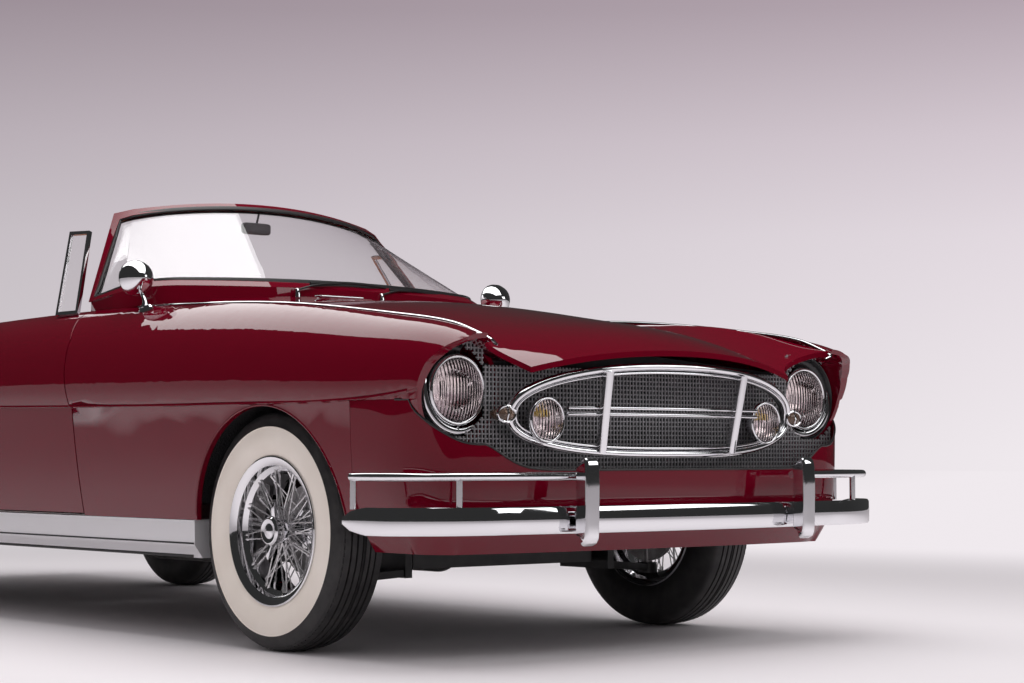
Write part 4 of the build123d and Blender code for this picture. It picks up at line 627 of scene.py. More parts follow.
def spoke(hub_along, hub_r, hub_turn, rim_along, rim_r, rim_turn, radius=2.1):
    """One wire spoke with its nipple, about the axle along Y at the origin."""
    a = Vector((hub_r * cos(hub_turn), hub_along, hub_r * sin(hub_turn)))
    b = Vector((rim_r * cos(rim_turn), rim_along, rim_r * sin(rim_turn)))
    neck = a.lerp(b, 1 - 16 / (b - a).length)
    lift = (0.3, 0.9, 0.2)
    return joined((
        swept((a, neck), round_section(radius, 5), lift),
        swept((neck, a.lerp(b, 1.02)), round_section(radius * 1.9, 5), lift),
    ))


def spoke_set(way):
    """Six spokes that repeat twelve times round the wheel."""
    step = radians(30)
    lines = (
        (40, 30, 0.0, 44, 183, 0.62), (40, 30, 0.26, 44, 183, -0.36), (34, 28, 0.13, 6, 172, 0.55),
        (34, 28, 0.39, 6, 172, -0.16), (-30, 54, 0.05, 28, 173, 0.44), (-30, 54, 0.31, 20, 173, -0.10),
    )
    return joined(tuple(spoke(way * h, hr, ht, way * r, rr, rt) for h, hr, ht, r, rr, rt in lines))


def wheel(place, side, way, axle_x):
    """Tyre, rim, spokes, hub and spinner of one wheel."""
    body = f"{place}_wheel_{side}"
    axis = "y" if way > 0 else "-y"
    centre = (axle_x, way * WHEEL_Y, TYRE_R)
    shell = turned(SHOULDER + TREAD[1:] + INNER_WALL[1:], centre, axis, 128)
    tyre = piece(f"{body}_tyre_casing", *shell, tyre_black, body, "tyre")
    turned_piece(f"{body}_whitewall", WALL, centre, axis, whitewall, body, "tyre", 128)
    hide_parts(f"{place}_tyre_{side}")
    rim = turned_piece(f"{body}_rim", RIM, centre, axis, chrome, body, "chrome", 128)
    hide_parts(f"{place}_wheel_{side}")
    turned_piece(f"{body}_hub", HUB, centre, axis, chrome, body, "chrome", 48)
    turned_piece(f"{body}_spinner", KNOCK_OFF, centre, axis, chrome, body, "chrome", 48)
    ears = []
    for turn in (radians(80), radians(260)):
        out = [Vector((r * cos(turn), way * y, r * sin(turn))) + Vector(centre)
               for r, y in ((26, 62), (44, 68), (62, 73), (76, 76), (84, 77))]
        ears.append(swept(out, pad_section(15, 26, 6), (0, 1, 0), scale=[1.0, 1.0, 0.9, 0.75, 0.4]))
    piece(f"{body}_spinner_ears", *joined(ears), chrome, body, "chrome")
    whole_turn = (0.0, 2 * pi, 0.0)
    place_m = tuple(v * MM for v in centre)
    repeated(f"{body}_spokes", *spoke_set(way), RING, bright_wire, body, "chrome", 60.0,
             Count=12, Centre=place_m, Axis_Turn=whole_turn)
    lug = joined(tuple(
        swept(((-3.0, way * y, z), (3.0, way * y, z)), pad_section(width, height, 1.5, 1), (0, lean, 1))
        for y, z, width, height, lean in ((63, 338, 9, 9, 0.3), (71, 331, 10, 12, 0.55))
    ))
    repeated(f"{body}_shoulder_lugs", *lug, RING, tyre_black, body, "tyre",
             Count=110, Centre=place_m, Axis_Turn=whole_turn)


for side, way in SIDES:
    wheel("front", side, way, FRONT_AXLE_X)
    wheel("rear", side, way, REAR_AXLE_X)


# ---------------------------------------------------------------- grille
def front_arc(y, half=GRILLE_HALF_W):
    """How far forward the grille stands at y."""
    return GRILLE_X - (GRILLE_X - GRILLE_END_X) * (abs(y) / half) ** 2


def oval_point(turn, inset=0.0, push=0.0):
    """Point on the grille's oval; the oval leans forward at its top."""
    half_w = GRILLE_HALF_W - inset
    middle = (GRILLE_TOP_Z + GRILLE_LOW_Z) / 2
    half_h = (GRILLE_TOP_Z - GRILLE_LOW_Z) / 2 - inset
    c, s = cos(turn), sin(turn)
    y, z = half_w * squared(c, 0.78), half_h * squared(s, 0.86)
    drop = 14 * (abs(y) / GRILLE_HALF_W) ** 2
    return (front_arc(y) + push + z * 0.165, y, middle + z - drop)


TURNS = [2 * pi * k / 120 for k in range(120)]


def oval_ring(name, inset, push, width, depth, material):
    """A closed ring that follows the grille's oval."""
    path = [oval_point(t, inset, push) for t in TURNS]
    return swept_piece(name, path, pad_section(depth, width, min(width, depth) * 0.45), material,
                       "car_body", "chrome", [(0, cos(t), sin(t)) for t in TURNS], True)


def bar_pair(name, places):
    """Two bright bars across the grille, one above the other."""
    for level, lift in (("lower", -9), ("upper", 9)):
        run = [(front_arc(y) - 14, y, 690 + lift) for y in places]
        swept_piece(f"grille_{name}_{level}", run, pad_section(14, 10, 4), *CHROME)


surround = oval_ring("grille_surround_ring", 10, -14, 21, 28, chrome)
oval_ring("grille_inner_bead", 27, -12, 7, 12, chrome)
oval_ring("grille_channel", 18, -22, 26, 10, mesh_enamel)
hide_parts("grille_surround")
for side, way in SIDES:
    strut = ((2459, way * 271, 800), (2416, way * 261, 576))
    swept_piece(f"grille_strut_{side}", strut, pad_section(27, 22, 6), *CHROME, (1, 0, 0))
    bar_pair(f"side_bar_{side}", [way * y for y in range(262, 380, 13)])
bar_pair("middle_bar", range(-262, 263, 20))

# ---------------------------------------------------------------- mesh behind the grille and round the lamps
PITCH, MESH_LOW_Z, SIDE_MESH_Y, SIDE_MESH_COLUMNS = 13.0, 534.0, 617.5, 16


def mesh_panel(name, y0, columns, z0, rows, hole=(0, 0, 0), hole_radius=0.0, x=2321.0, bar=4.4, depth=6.0):
    """Square-hole stamped mesh, one crossed pair of bars for each cell."""
    half = PITCH / 2
    cell = joined((
        swept(((0, 0, -half), (0, 0, half)), pad_section(bar, depth, 0.8, 1), (1, 0, 0)),
        swept(((-1, -half, 0), (-1, half, 0)), pad_section(depth - 1.5, bar, 0.8, 1), (0, 0, 1)),
    ))
    middle = (x * MM, (y0 + PITCH * (columns - 1) / 2) * MM, (z0 + PITCH * (rows - 1) / 2) * MM)
    return repeated(name, *cell, SHEET, mesh_grey, "car_body", "grille_black",
                    Width=PITCH * (columns - 1) * MM, Height=PITCH * (rows - 1) * MM, Columns=columns,
                    Rows=rows, Middle=middle, Hole_Centre=tuple(v * MM for v in hole),
                    Hole_Radius=hole_radius * MM)


middle_mesh = mesh_panel("grille_mesh_middle", -604.5, 94, MESH_LOW_Z, 22)
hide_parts("grille_mesh")
# near-black sheet behind the middle mesh: painted shadow standing for the dark space behind the grille
shadow_sheet_paint = shader("grille_painted_shadow", (0.006, 0.006, 0.007), 0.9)
tint(shadow_sheet_paint, texture(shadow_sheet_paint, scale=20.0), (0.004, 0.004, 0.005), (0.010, 0.010, 0.011))
piece("grille_mesh_shadow", [(2306, -604, 529), (2306, 604, 529), (2306, 604, 818), (2306, 0, 860),
                             (2306, -604, 818)], [tuple(range(5))], shadow_sheet_paint, "car_body", "grille_black")
for side, way in SIDES:
    y0 = SIDE_MESH_Y if way > 0 else -SIDE_MESH_Y - (SIDE_MESH_COLUMNS - 1) * PITCH
    mesh_panel(f"grille_mesh_{side}", y0, SIDE_MESH_COLUMNS, MESH_LOW_Z, 27,
               (2321, way * (HEAD[1] + 23), HEAD[2]), 125.0)

# ---------------------------------------------------------------- lamps
LENS = ((4, 86), (8, 80), (16, 64), (21.5, 44), (24.5, 22), (25.5, 0))
LENS_BACK = ((21.5, 0), (20.5, 22), (17.5, 44), (12, 64), (4, 80), (0, 86), (4, 86))
BOWL = ((2, 84), (-10, 82), (-34, 66), (-56, 42), (-66, 18), (-68, 0))
LAMP_RING = ((-22, 90), (-10, 96.5), (0, 98.5), (7, 97), (10.5, 93), (10, 88.5), (6, 86), (1, 86.5), (-4, 88),
             (-22, 90))
SCREW_TURN = radians(270)
LAMP_CUP = ((-16, 97), (-22, 104), (-24, 116), (-18, 126), (-6, 131), (2, 133), (6, 131), (4, 128.5),
            (-8, 126), (-20, 114), (-18, 104), (-12, 97), (-16, 97))
for side, way in SIDES:
    centre = (HEAD[0], way * HEAD[1], HEAD[2])
    turned_piece(f"headlamp_{side}_lens", LENS_BACK + LENS[1:], centre, "x", *CLEAR, 72, 60.0)
    turned_piece(f"headlamp_{side}_bowl", BOWL, centre, "x", *SILVER, 72, 60.0)
    turned_piece(f"headlamp_{side}_bulb_cap", ((-20, 0), (-20, 12), (-30, 15), (-52, 15)), centre, "x",
                 *SILVER, 32)
    ring = turned_piece(f"headlamp_{side}_ring", LAMP_RING, centre, "x", *CHROME, 96, 60.0)
    turned_piece(f"headlamp_{side}_cup", LAMP_CUP, centre, "x", mesh_enamel, "car_body", "grille_black", 64,
                 60.0, start=radians(75 if way < 0 else -105), sweep=radians(210))
    if way > 0:
        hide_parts("headlamps")
    path, widths = [], []
    for k in range(33):
        a = radians(165 + 140 * k / 32) if way < 0 else radians(15 - 140 * k / 32)
        path.append((centre[0] + 4, centre[1] + 112 * cos(a), centre[2] + 112 * sin(a)))
        widths.append(max(sin(pi * k / 32) ** 0.5, 0.05))
    swept_piece(f"headlamp_{side}_crescent", path, pad_section(22, 12, 5), *CHROME, (1, 0, 0), scale=widths)
    turned_piece(f"headlamp_{side}_screw", ((0, 5), (5, 5), (7, 3), (7, 0)),
                 (centre[0] + 2, centre[1] + 104 * cos(SCREW_TURN), centre[2] + 104 * sin(SCREW_TURN)), "x",
                 *CHROME, 16)

FOG_LENS_BACK = ((11, 0), (9.5, 22), (6, 42), (0, 56), (4, 57))
FOG_LENS = ((4, 57), (9.5, 42), (13, 22), (14.5, 0))
FOG_BOWL = ((0, 57), (-8, 52), (-22, 38), (-30, 18), (-31, 0))
FOG_RING = ((-14, 58), (-12, 62), (-4, 65), (4, 65), (9, 62), (9.5, 58.5), (6, 55.5), (0, 56.5), (-14, 58))
FOG_SHELL = ((-14, 60), (-24, 56), (-36, 42), (-44, 22), (-45, 0))
for side, way in SIDES:
    centre = (FOG[0], way * FOG[1], FOG[2])
    ring = turned_piece(f"fog_lamp_{side}_ring", FOG_RING, centre, "x", *CHROME, 72, 60.0)
    if way > 0:
        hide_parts("fog_lamps")
    turned_piece(f"fog_lamp_{side}_shell", FOG_SHELL, centre, "x", *CHROME, 48, 60.0)
    turned_piece(f"fog_lamp_{side}_bowl", FOG_BOWL, centre, "x", *SILVER, 48, 60.0)
    turned_piece(f"fog_lamp_{side}_lens", FOG_LENS_BACK + FOG_LENS[1:], centre, "x", *CLEAR, 64, 60.0)
    turned_piece(f"fog_lamp_{side}_bulb", ((-24, 9), (-14, 15), (-4, 13), (0, 6), (1, 0)),
                 (centre[0], centre[1], centre[2] + 16), "x", yellow, "car_body", "amber_lens", 32)
    turned_piece(f"fog_lamp_{side}_cap", ((-20, 0), (-20, 13), (-8, 17), (-2, 10), (0, 0)), centre, "x",
                 *CHROME, 32)
    swept_piece(f"fog_lamp_{side}_stay", ((2330, way * FOG[1], 612), (2362, way * FOG[1], 606),
                                          (2376, way * FOG[1], 612)), round_section(7), *CHROME, (0, 1, 0))

for side, way in SIDES:
    centre = (PARKING[0], way * PARKING[1], PARKING[2])
    ring = [(centre[0] + 4, centre[1] + 31 * cos(t), centre[2] + 22 * sin(t)) for t in TURNS[::3]]
    shell = swept_piece(f"parking_lamp_{side}_rim", ring, round_section(4.2, 8), *CHROME,
                        [(0, cos(t), sin(t)) for t in TURNS[::3]], True)
    if way > 0:
        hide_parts("parking_lamps")
    rows = []
    for depth, share in ((-40, 0.7), (-4, 0.98), (4, 0.94), (9, 0.7), (12, 0.35), (13, 0.01)):
        rows.append([(centre[0] + depth, centre[1] + 30 * share * cos(t), centre[2] + 21 * share * sin(t))
                     for t in TURNS[::4]])
    lofted(f"parking_lamp_{side}_lens", rows, amber, "car_body", "amber_lens")
    swept_piece(f"parking_lamp_{side}_divider",
                ((centre[0] + 6, centre[1], centre[2] - 21), (centre[0] + 14, centre[1], centre[2]),
                 (centre[0] + 6, centre[1], centre[2] + 21)), round_section(2.6, 8), *CHROME,
                (0, 1, 0))

# ---------------------------------------------------------------- bright trim along the body
BEAD = [(-5.2, -1.5), (-4.6, 1.6), (-2.6, 3.6), (0, 4.3), (2.6, 3.6), (4.6, 1.6), (5.2, -1.5)]
CREASE_BEAD = [(-2, -2.5), (-2, 2.5), (1.4, 1.8), (2.6, 0), (1.4, -1.8)]
CREASE, HOOD_EDGE = 0, 2


def side_line(first_x, last_x, count, way, column, push, rise):
    """Points along the body's side, from two columns of its table, a push outwards and a rise."""
    line = []
    for k in range(count):
        x = first_x - (first_x - last_x) * k / (count - 1)
        row = at(SIDE, x)
        line.append((x, way * (row[column] + push), row[column + 1] + rise))
    return line


for side, way in SIDES:
    line = side_line(2434, 748, 90, way, HOOD_EDGE, -3.5, 1.0)
    tip = [(2438, way * 664, 862), (2444, way * 677, 869), (2441, way * 683, 875)]
    swept_piece(f"hood_edge_trim_{side}", tip + line[1:], BEAD, *CHROME)
    for panel, first_x, last_x, count, body in (
        ("fender", 2300, 545, 70, "car_body"), ("door", 530, -684, 50, f"door_{side}"),
    ):
        crease = side_line(first_x, last_x, count, way, CREASE, 0.5, 0.5)
        swept_piece(f"{panel}_crease_bead_{side}", crease, CREASE_BEAD, cherry, body, "red_paint")

for side, way in SIDES:
    for number, (z, tall, look) in enumerate(((370, 5, CHROME), (300, 5, GASKET), (262, 9, GASKET))):
        swept_piece(f"sill_strip_{side}_{number}", ((-930, way * 838.4, z), (1226, way * 838.4, z)),
                    pad_section(3.0, tall, 1.2), *look)

# ---------------------------------------------------------------- windshield
GLASS_BASE = (((856, 0), (1.0, 0.0)), ((776, 620), (0.93, 0.36)), ((716, 702), (0.62, 0.78)),
              ((620, 732), (0.0, 1.0)), ((420, 738), (0.03, 1.0)))
GLASS_TOP = (((350, 0), (1.0, 0.0)), ((318, 360), (0.97, 0.24)), ((304, 430), (0.93, 0.36)),
             ((288, 500), (0.88, 0.47)), ((264, 562), (0.82, 0.57)))
BASE_Z, BASE_SLOPE, TOP_Z, TOP_SLOPE = 1131.0, 0.115, 1462.0, 0.72


def glass_line(share, push, trim=0.0):
    """Points of the windshield at a share of its height, from its left rear corner round to the right."""
    plan = []
    for (base, base_way), (top, top_way) in zip(GLASS_BASE, GLASS_TOP):
        p = [base[i] + share * (top[i] - base[i]) for i in (0, 1)]
        w = [base_way[i] + share * (top_way[i] - base_way[i]) for i in (0, 1)]
        size = hypot(*w)
        plan.append((p[0] + push * w[0] / size, p[1] + push * w[1] / size))
    end, before = plan[4], plan[3]
    k = trim / hypot(end[0] - before[0], end[1] - before[1])
    plan[4] = (end[0] + k * (before[0] - end[0]), end[1] + k * (before[1] - end[1]))
    front_x = GLASS_BASE[0][0][0] + share * (GLASS_TOP[0][0][0] - GLASS_BASE[0][0][0])
    height, slope = BASE_Z + share * (TOP_Z - BASE_Z), BASE_SLOPE + share * (TOP_SLOPE - BASE_SLOPE)
    half = [plan[4]] + arc_through(plan[3], plan[2], plan[1], 10)
    mirror = [(x, -y) for x, y in reversed(half)]
    middle = arc_through(plan[1], plan[0], (plan[1][0], -plan[1][1]), 28)[1:-1]
    line = half + middle + mirror
    return [(x, y, height + slope * (x - front_x)) for x, y in line]


def between(a, b, steps):
    """The points that divide a straight run."""
    return [[a[k] + (b[k] - a[k]) * t / steps for k in range(3)] for t in range(1, steps)]


def gasket_loop(push):
    """Closed line round the glass, a little in from its edges."""
    low, high = glass_line(0.068, push, 24), glass_line(0.942, push, 24)
    return low + between(low[-1], high[-1], 8) + high[::-1] + between(high[0], low[0], 8)


loop = gasket_loop(8.5)
ways = [tuple(Vector((x - 150, y * 1.1, 240)).normalized()) for x, y, z in loop]
swept_piece("windshield_gasket", loop, pad_section(20, 9, 4), *GASKET, ways, True)
swept_piece("windshield_inner_gasket", gasket_loop(-9.0), pad_section(16, 7, 3), *GASKET, ways, True)

swept_piece("interior_mirror_stem", ((352, -18, 1440), (340, -16, 1418), (330, -14, 1400)),
            round_section(4, 8), *GASKET, (0, 1, 0))
rows = []
for depth, share in ((-9, 0.86), (-7, 0.97), (0, 1.0), (7, 0.94), (12, 0.75), (14, 0.4), (14.5, 0.01)):
    rows.append([(328 + depth, -14 + 62 * share * squared(cos(t), 0.35),
                  1384 + 21 * share * squared(sin(t), 0.35)) for t in TURNS[::3]])
lofted("interior_mirror", rows, *GASKET)


def wiper(name, pivot, mid, tip, blade):
    """Wiper arm with its spindle, blade holder and rubber."""
    turned_piece(f"{name}_spindle", ((-16, 11), (-4, 11), (2, 9), (12, 8), (16, 5), (17, 0)), pivot, "z",
                 *CHROME, 24)
    top = (pivot[0], pivot[1], pivot[2] + 12)
    arm = smooth_path([top, mid, tip], 14)
    swept_piece(f"{name}_arm", arm, pad_section(9, 5, 2), *GASKET, (0, 0, 1),
                scale=[1.3 - 0.5 * k / 13 for k in range(14)])
    run = smooth_path(blade, 16)
    swept_piece(f"{name}_blade", run, pad_section(7, 9, 2.5), *GASKET, (0, 0, 1))
    rail = [(p[0] - 2, p[1], p[2] - 8) for p in run]
    swept_piece(f"{name}_rubber", rail, pad_section(3, 9, 1), *GASKET, (0, 0, 1))


wiper("wiper_right", (872, -212, 1112), (866, -120, 1146), (846, 20, 1158),
      [(858, -150, 1150), (852, -20, 1158), (846, 90, 1158), (832, 190, 1152)])
wiper("wiper_left", (864, 150, 1112), (850, 230, 1142), (820, 330, 1146),
      [(842, 200, 1144), (826, 320, 1148), (800, 430, 1144), (772, 520, 1138)])
louvre = swept(((884, -150, 1105), (884, 24, 1105)), pad_section(4, 6, 1.6), (0, 0, 1))
repeated("cowl_vent_bars", *louvre, ROWS, *CHROME,
         Columns=6, Rows=1, Column_Step=(8 * MM, 0, -0.4 * MM), Row_Step=(0, 0, 0))

# ---------------------------------------------------------------- bumpers
def blade_line(way, middle_x, shift):
    """Plan of a bumper blade from its left tip to its right one, at the middle of its thickness."""
    tip, bend, knee, shoulder = (2180, 980), (2330, 956), (2425, 852), (2474, 638)
    half = [(tip[0] + (bend[0] - tip[0]) * k / 5, tip[1] + (bend[1] - tip[1]) * k / 5) for k in range(5)]
    half += arc_through(bend, knee, shoulder, 12)
    mid = (middle_x - (6 if way > 0 else 59), 0)
    middle = arc_through(shoulder, mid, (shoulder[0], -shoulder[1]), 40)[1:-1]
    line = half + middle + [(x, -y) for x, y in reversed(half)]
    return [(way * (x + shift), y) for x, y in line]


def bumper(name, node, way, middle_x, shift, low, high):
    """Bright blade with a full rounded face and a flat back."""
    line = [(x, y, (low + high) / 2) for x, y in blade_line(way, middle_x, shift)]
    half = (high - low) / 2
    face = [(21 * cos(a) - 8, half * sin(a)) for a in [radians(-90 + 12 * k) for k in range(16)]]
    face += [(-12, half - 6), (-13, 0), (-12, -half + 6)]
    section = [(way * x, z) for x, z in face]
    fade = [min(1.0, 0.25 + 0.75 * (min(k, len(line) - 1 - k) / 3.0) ** 0.5) for k in range(len(line))]
    blade = swept_piece(name, line, section, *CHROME, (0, 0, 1), scale=fade, crease=40.0)
    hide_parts(node)


for name, way, middle_x, shift, low, high in (
    ("front_bumper", 1, 2522.0, 0.0, 356.0, 430.0), ("rear_bumper", -1, 2575.0, 48.0, 385.0, 459.0),
):
    bumper(f"{name}_blade", name, way, middle_x, shift, low, high)
    for side, hand in SIDES:
        base = way * (middle_x - 44)
        run = [(way * 2290, hand * 365, low + 30), (base, hand * 365, low + 34)]
        swept_piece(f"{name}_iron_{side}", run, pad_section(30, 18, 5), chassis, "car_body", "chassis_black")

for side, hand in SIDES:
    y = hand * 435
    band = smooth_path([(2541, y, 345), (2546, y, 352), (2548, y, 400), (2549, y, 450), (2549, y, 500),
                        (2547, y, 536), (2541, y, 547)], 30)
    stout = [0.80 + 0.20 * min(1.0, min(k, 29 - k) / 3.0) ** 0.5 for k in range(30)]
    guard = swept_piece(f"bumper_guard_{side}", band, pad_section(50, 50, 9, 5), *CHROME, (1, 0, 0),
                        scale=stout)
    if hand > 0:
        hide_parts("bumper_guards")
    rail = arc_through((2412, 850), (2330, 942), (2200, 966), 12)
    front = [(2500, 435), (2478, 560), (2462, 660), (2438, 770)]
    nudge = smooth_path([(x, hand * yy, 510) for x, yy in front + rail], 60)
    swept_piece(f"nudge_bar_{side}", nudge, round_section(11.5, 16), *CHROME)
    for number, (x, yy) in enumerate(((2434, 788), (2206, 965))):
        swept_piece(f"nudge_post_{side}_{number}", ((x, hand * yy, 424), (x, hand * yy, 508)),
                    round_section(9, 14), *CHROME, (1, 0, 0))

# ---------------------------------------------------------------- padded seats
# how far out the channels run as a share of a pad's half width, and two lengths in metres
SEAM_SHARE, GROOVE_HALF, PAD_END = 0.80, 0.013, 0.03
SWELL_FRAMES = 20


def side_block(profile, y0, y1):
    """Points and faces of a side view outline carried across the car."""
    return [(x, y, z) for y in (y0, y1) for x, z in profile], rows_faces(2, len(profile))


def cushion(name, profile, y0, y1, node, voxel, cap, channels, depth):
    """Foam pad: swollen by cloth pressure, capped, then sewn into channels across its width."""
    pad = linked(name, closed_mesh(name, *side_block(profile, y0, y1)))
    blocky = pad.modifiers.new("even", "REMESH")
    blocky.mode = "VOXEL"
    blocky.voxel_size = voxel * MM
    ease = pad.modifiers.new("ease", "SMOOTH")
    ease.factor, ease.iterations = 0.5, 14
    mesh = evaluated(pad)
    bpy.data.objects.remove(pad)
    pad = linked(name, mesh)
    rest = [v.co.copy() for v in mesh.vertices]
    cloth = pad.modifiers.new("swell", "CLOTH")
    cloth.settings.use_pressure = True
    cloth.settings.uniform_pressure_force = 4.0
    cloth.settings.effector_weights.gravity = 0.0
    cloth.settings.quality = 3
    for frame_number in range(1, SWELL_FRAMES + 1):
        scene.frame_set(frame_number)
    swollen = evaluated(pad)
    pad.modifiers.clear()
    scene.frame_set(1)
    for v, start, grown in zip(mesh.vertices, rest, swollen.vertices):
        move = grown.co - start
        if move.length > cap * MM:
            move *= cap * MM / move.length
        v.co = start + move
    bpy.data.meshes.remove(swollen)
    mesh.update()
    middle, half = (y0 + y1) / 2 * MM, (y1 - y0) / 2 * MM
    normals = [v.normal.copy() for v in mesh.vertices]
    for v, normal in zip(mesh.vertices, normals):
        inset = min(1.0, max(0.0, (half - abs(v.co.y - middle)) / PAD_END))
        facing = max(0.0, normal.z, normal.x)
        groove = 0.0
        for k in range(1, channels):
            line = middle - half * SEAM_SHARE + 2 * SEAM_SHARE * half * k / channels
            groove = max(groove, 1.0 - min(1.0, abs(v.co.y - line) / GROOVE_HALF) ** 0.6)
        for edge in (-SEAM_SHARE, SEAM_SHARE):
            away = abs(v.co.y - middle - edge * half)
            groove = max(groove, 1.15 * (1.0 - min(1.0, away / GROOVE_HALF) ** 0.6))
        v.co -= normal * (depth * MM * groove * facing * inset)
    mesh.update()
    fine = pad.modifiers.new("fine", "SUBSURF")
    fine.levels = fine.render_levels = 1
    mesh = evaluated(pad)
    bpy.data.objects.remove(pad)
    pad = placed(name, mesh, *HIDE, 60.0)
    if node:
        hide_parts(node)
    return pad


SEAT_BASE = [(126, 332), (126, 418), (-322, 410), (-446, 432), (-446, 332)]
for side, way in SIDES:
    y0, y1 = sorted((way * 152, way * 684))
    cushion(f"front_seat_cushion_{side}", [(-330, 424), (134, 432), (140, 470), (134, 528), (-330, 500)],
            y0 + 8, y1 - 8, "front_seats" if way > 0 else None, 12.0, 15.0, 7, 9.0)
    cushion(f"front_seat_back_{side}", [(-346, 446), (-346, 516), (-428, 966), (-500, 966), (-456, 446)],
            y0 + 8, y1 - 8, None, 12.0, 14.0, 7, 9.0)
    piece(f"front_seat_base_{side}", *side_block(SEAT_BASE, y0 + 16, y1 - 16), carpet, "car_body", "leather")
    for number, y in enumerate((y0 + 60, y1 - 60)):
        swept_piece(f"front_seat_rail_{side}_{number}", ((-430, y, 336), (140, y, 336)),
                    pad_section(26, 12, 3), chassis, "car_body", "leather")
    lever = [(150, way * 640, 360), (158, way * 660, 366), (152, way * 676, 380)]
    swept_piece(f"seat_release_{side}", lever, round_section(4, 8), *CHROME, (0, 0, 1))
for number, (y0, y1) in enumerate(((-578, -8), (8, 578))):
    place = "left" if y0 > 0 else "right"
    cushion(f"rear_seat_cushion_{place}", [(-618, 424), (-604, 566), (-884, 544), (-884, 424)], y0, y1,
            "rear_seat" if y0 > 0 else None, 13.0, 12.0, 7, 8.0)
    cushion(f"rear_seat_back_{place}", [(-914, 430), (-914, 556), (-986, 944), (-1060, 944), (-1060, 430)],
            y0, y1, None, 13.0, 12.0, 7, 8.0)

# ---------------------------------------------------------------- folded top under its cover
TOP_X, TOP_Z_MID, TOP_HALF_Y, TOP_ROWS, TOP_SIDES = -1020, 1018, 632, 121, 60
rows = []
for i in range(TOP_ROWS):
    share = i / (TOP_ROWS - 1)
    y = -TOP_HALF_Y + 2 * TOP_HALF_Y * share
    end = min(1.0, (min(share, 1 - share) * 2 * TOP_HALF_Y / 60)) if share not in (0, 1) else 0.0
    size = sqrt(max(0.0, 1 - (1 - end) ** 2)) * 0.999 + 0.001
    row = []
    for k in range(TOP_SIDES):
        a = 2 * pi * k / TOP_SIDES
        folds = 1.0 - 0.06 * abs(sin(2.5 * a + 0.5 * sin(y / 210)))
        folds = folds - 0.012 * sin(y / 34 + 3 * a) - 0.010 * sin(y / 19 - 2 * a)
        deep = 52 * (0.35 + 0.65 * size) * folds * squared(sin(a), 0.85)
        row.append((TOP_X + 80 * size * folds * squared(cos(a), 0.75), y,
                    TOP_Z_MID + deep + 2.0 * sin(y / 83) * sin(a)))
    rows.append(row)
bundle = lofted("folded_top_cover", rows, canvas, "car_body", "canvas")
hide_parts("folded_top")
for number, y in enumerate((-420, 0, 420)):
    strap = [(TOP_X + 83.5 * cos(a), y, TOP_Z_MID + 54.5 * sin(a))
             for a in [2 * pi * k / 36 for k in range(36)]]
    swept_piece(f"folded_top_strap_{number}", strap, pad_section(3, 26, 1.2), *HIDE, (0, 1, 0), True)

# ---------------------------------------------------------------- steering wheel
STEER = Vector((330, 372, 985))
RAKE_ANGLE, STEER_R = radians(26), 205
STEER_AXIS = Vector((-cos(RAKE_ANGLE), 0, sin(RAKE_ANGLE)))
STEER_UP = Vector((sin(RAKE_ANGLE), 0, cos(RAKE_ANGLE)))
CAR_LEFT = Vector((0, 1, 0))


def on_wheel(angle, radius, along=0.0):
    """Point of the steering wheel at an angle and radius, raised along its axis."""
    spot = STEER + CAR_LEFT * (radius * cos(angle)) + STEER_UP * (radius * sin(angle))
    return tuple(spot + STEER_AXIS * along)


rim_points, band_points = [], []
for i in range(144):
    a = 2 * pi * i / 144
    grip = 10.4 + 0.6 * cos(36 * a)
    for k in range(12):
        b = 2 * pi * k / 12
        rim_points.append(on_wheel(a, STEER_R + grip * cos(b), grip * sin(b)))
    for out, rise in ((-11.2, -1.2), (-9.6, -1.2), (-9.6, 1.2), (-11.2, 1.2)):
        band_points.append(on_wheel(a, STEER_R + out, rise))
rim = piece("steering_rim", rim_points, rows_faces(144, 12, True, True), wood, "steering_wheel", "wheel_wood")
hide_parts("steering_wheel")
piece("steering_rim_band", band_points, rows_faces(144, 4, True, True), brushed, "steering_wheel", "steel")
for number, angle in enumerate((200, 340, 90)):
    a = radians(angle)
    path = [on_wheel(a, r, -6 + 4 * (r / 198) ** 2) for r in (22, 60, 110, 160, 198)]
    swept_piece(f"steering_spoke_{number}", path, pad_section(22, 4.4, 1.8), brushed, "steering_wheel",
                "steel", tuple(STEER_AXIS), scale=[1.25, 1.1, 0.95, 0.9, 1.15])
    beside, outward = CAR_LEFT * -sin(a) + STEER_UP * cos(a), CAR_LEFT * cos(a) + STEER_UP * sin(a)
    for hole in range(3):
        r = 70 + 42 * hole
        middle = Vector(on_wheel(a, r, -1 + 4 * (r / 198) ** 2))
        ring = [middle + beside * (6.5 * cos(t)) + outward * (6.5 * sin(t)) for t in TURNS[::6]]
        swept_piece(f"steering_spoke_eyelet_{number}_{hole}", ring, round_section(1.2, 6), chrome,
                    "steering_wheel", "steel", tuple(STEER_AXIS), True)

HUB_PROFILE = ((-27, 20), (-27, 31), (-10, 32), (2, 32), (6, 30), (8, 26), (9, 25.5), (11.2, 24), (12, 12),
               (12, 0))
hub_points = [on_wheel(2 * pi * i / 48, r, along) for i in range(48) for along, r in HUB_PROFILE]
hub_faces = rows_faces(48, len(HUB_PROFILE), False, True)
piece("horn_button", hub_points, hub_faces, rubber, "steering_wheel", "wheel_wood")

# ---------------------------------------------------------------- dashboard
DASH_X = 545
nodes["dashboard"].data.materials[0] = cherry


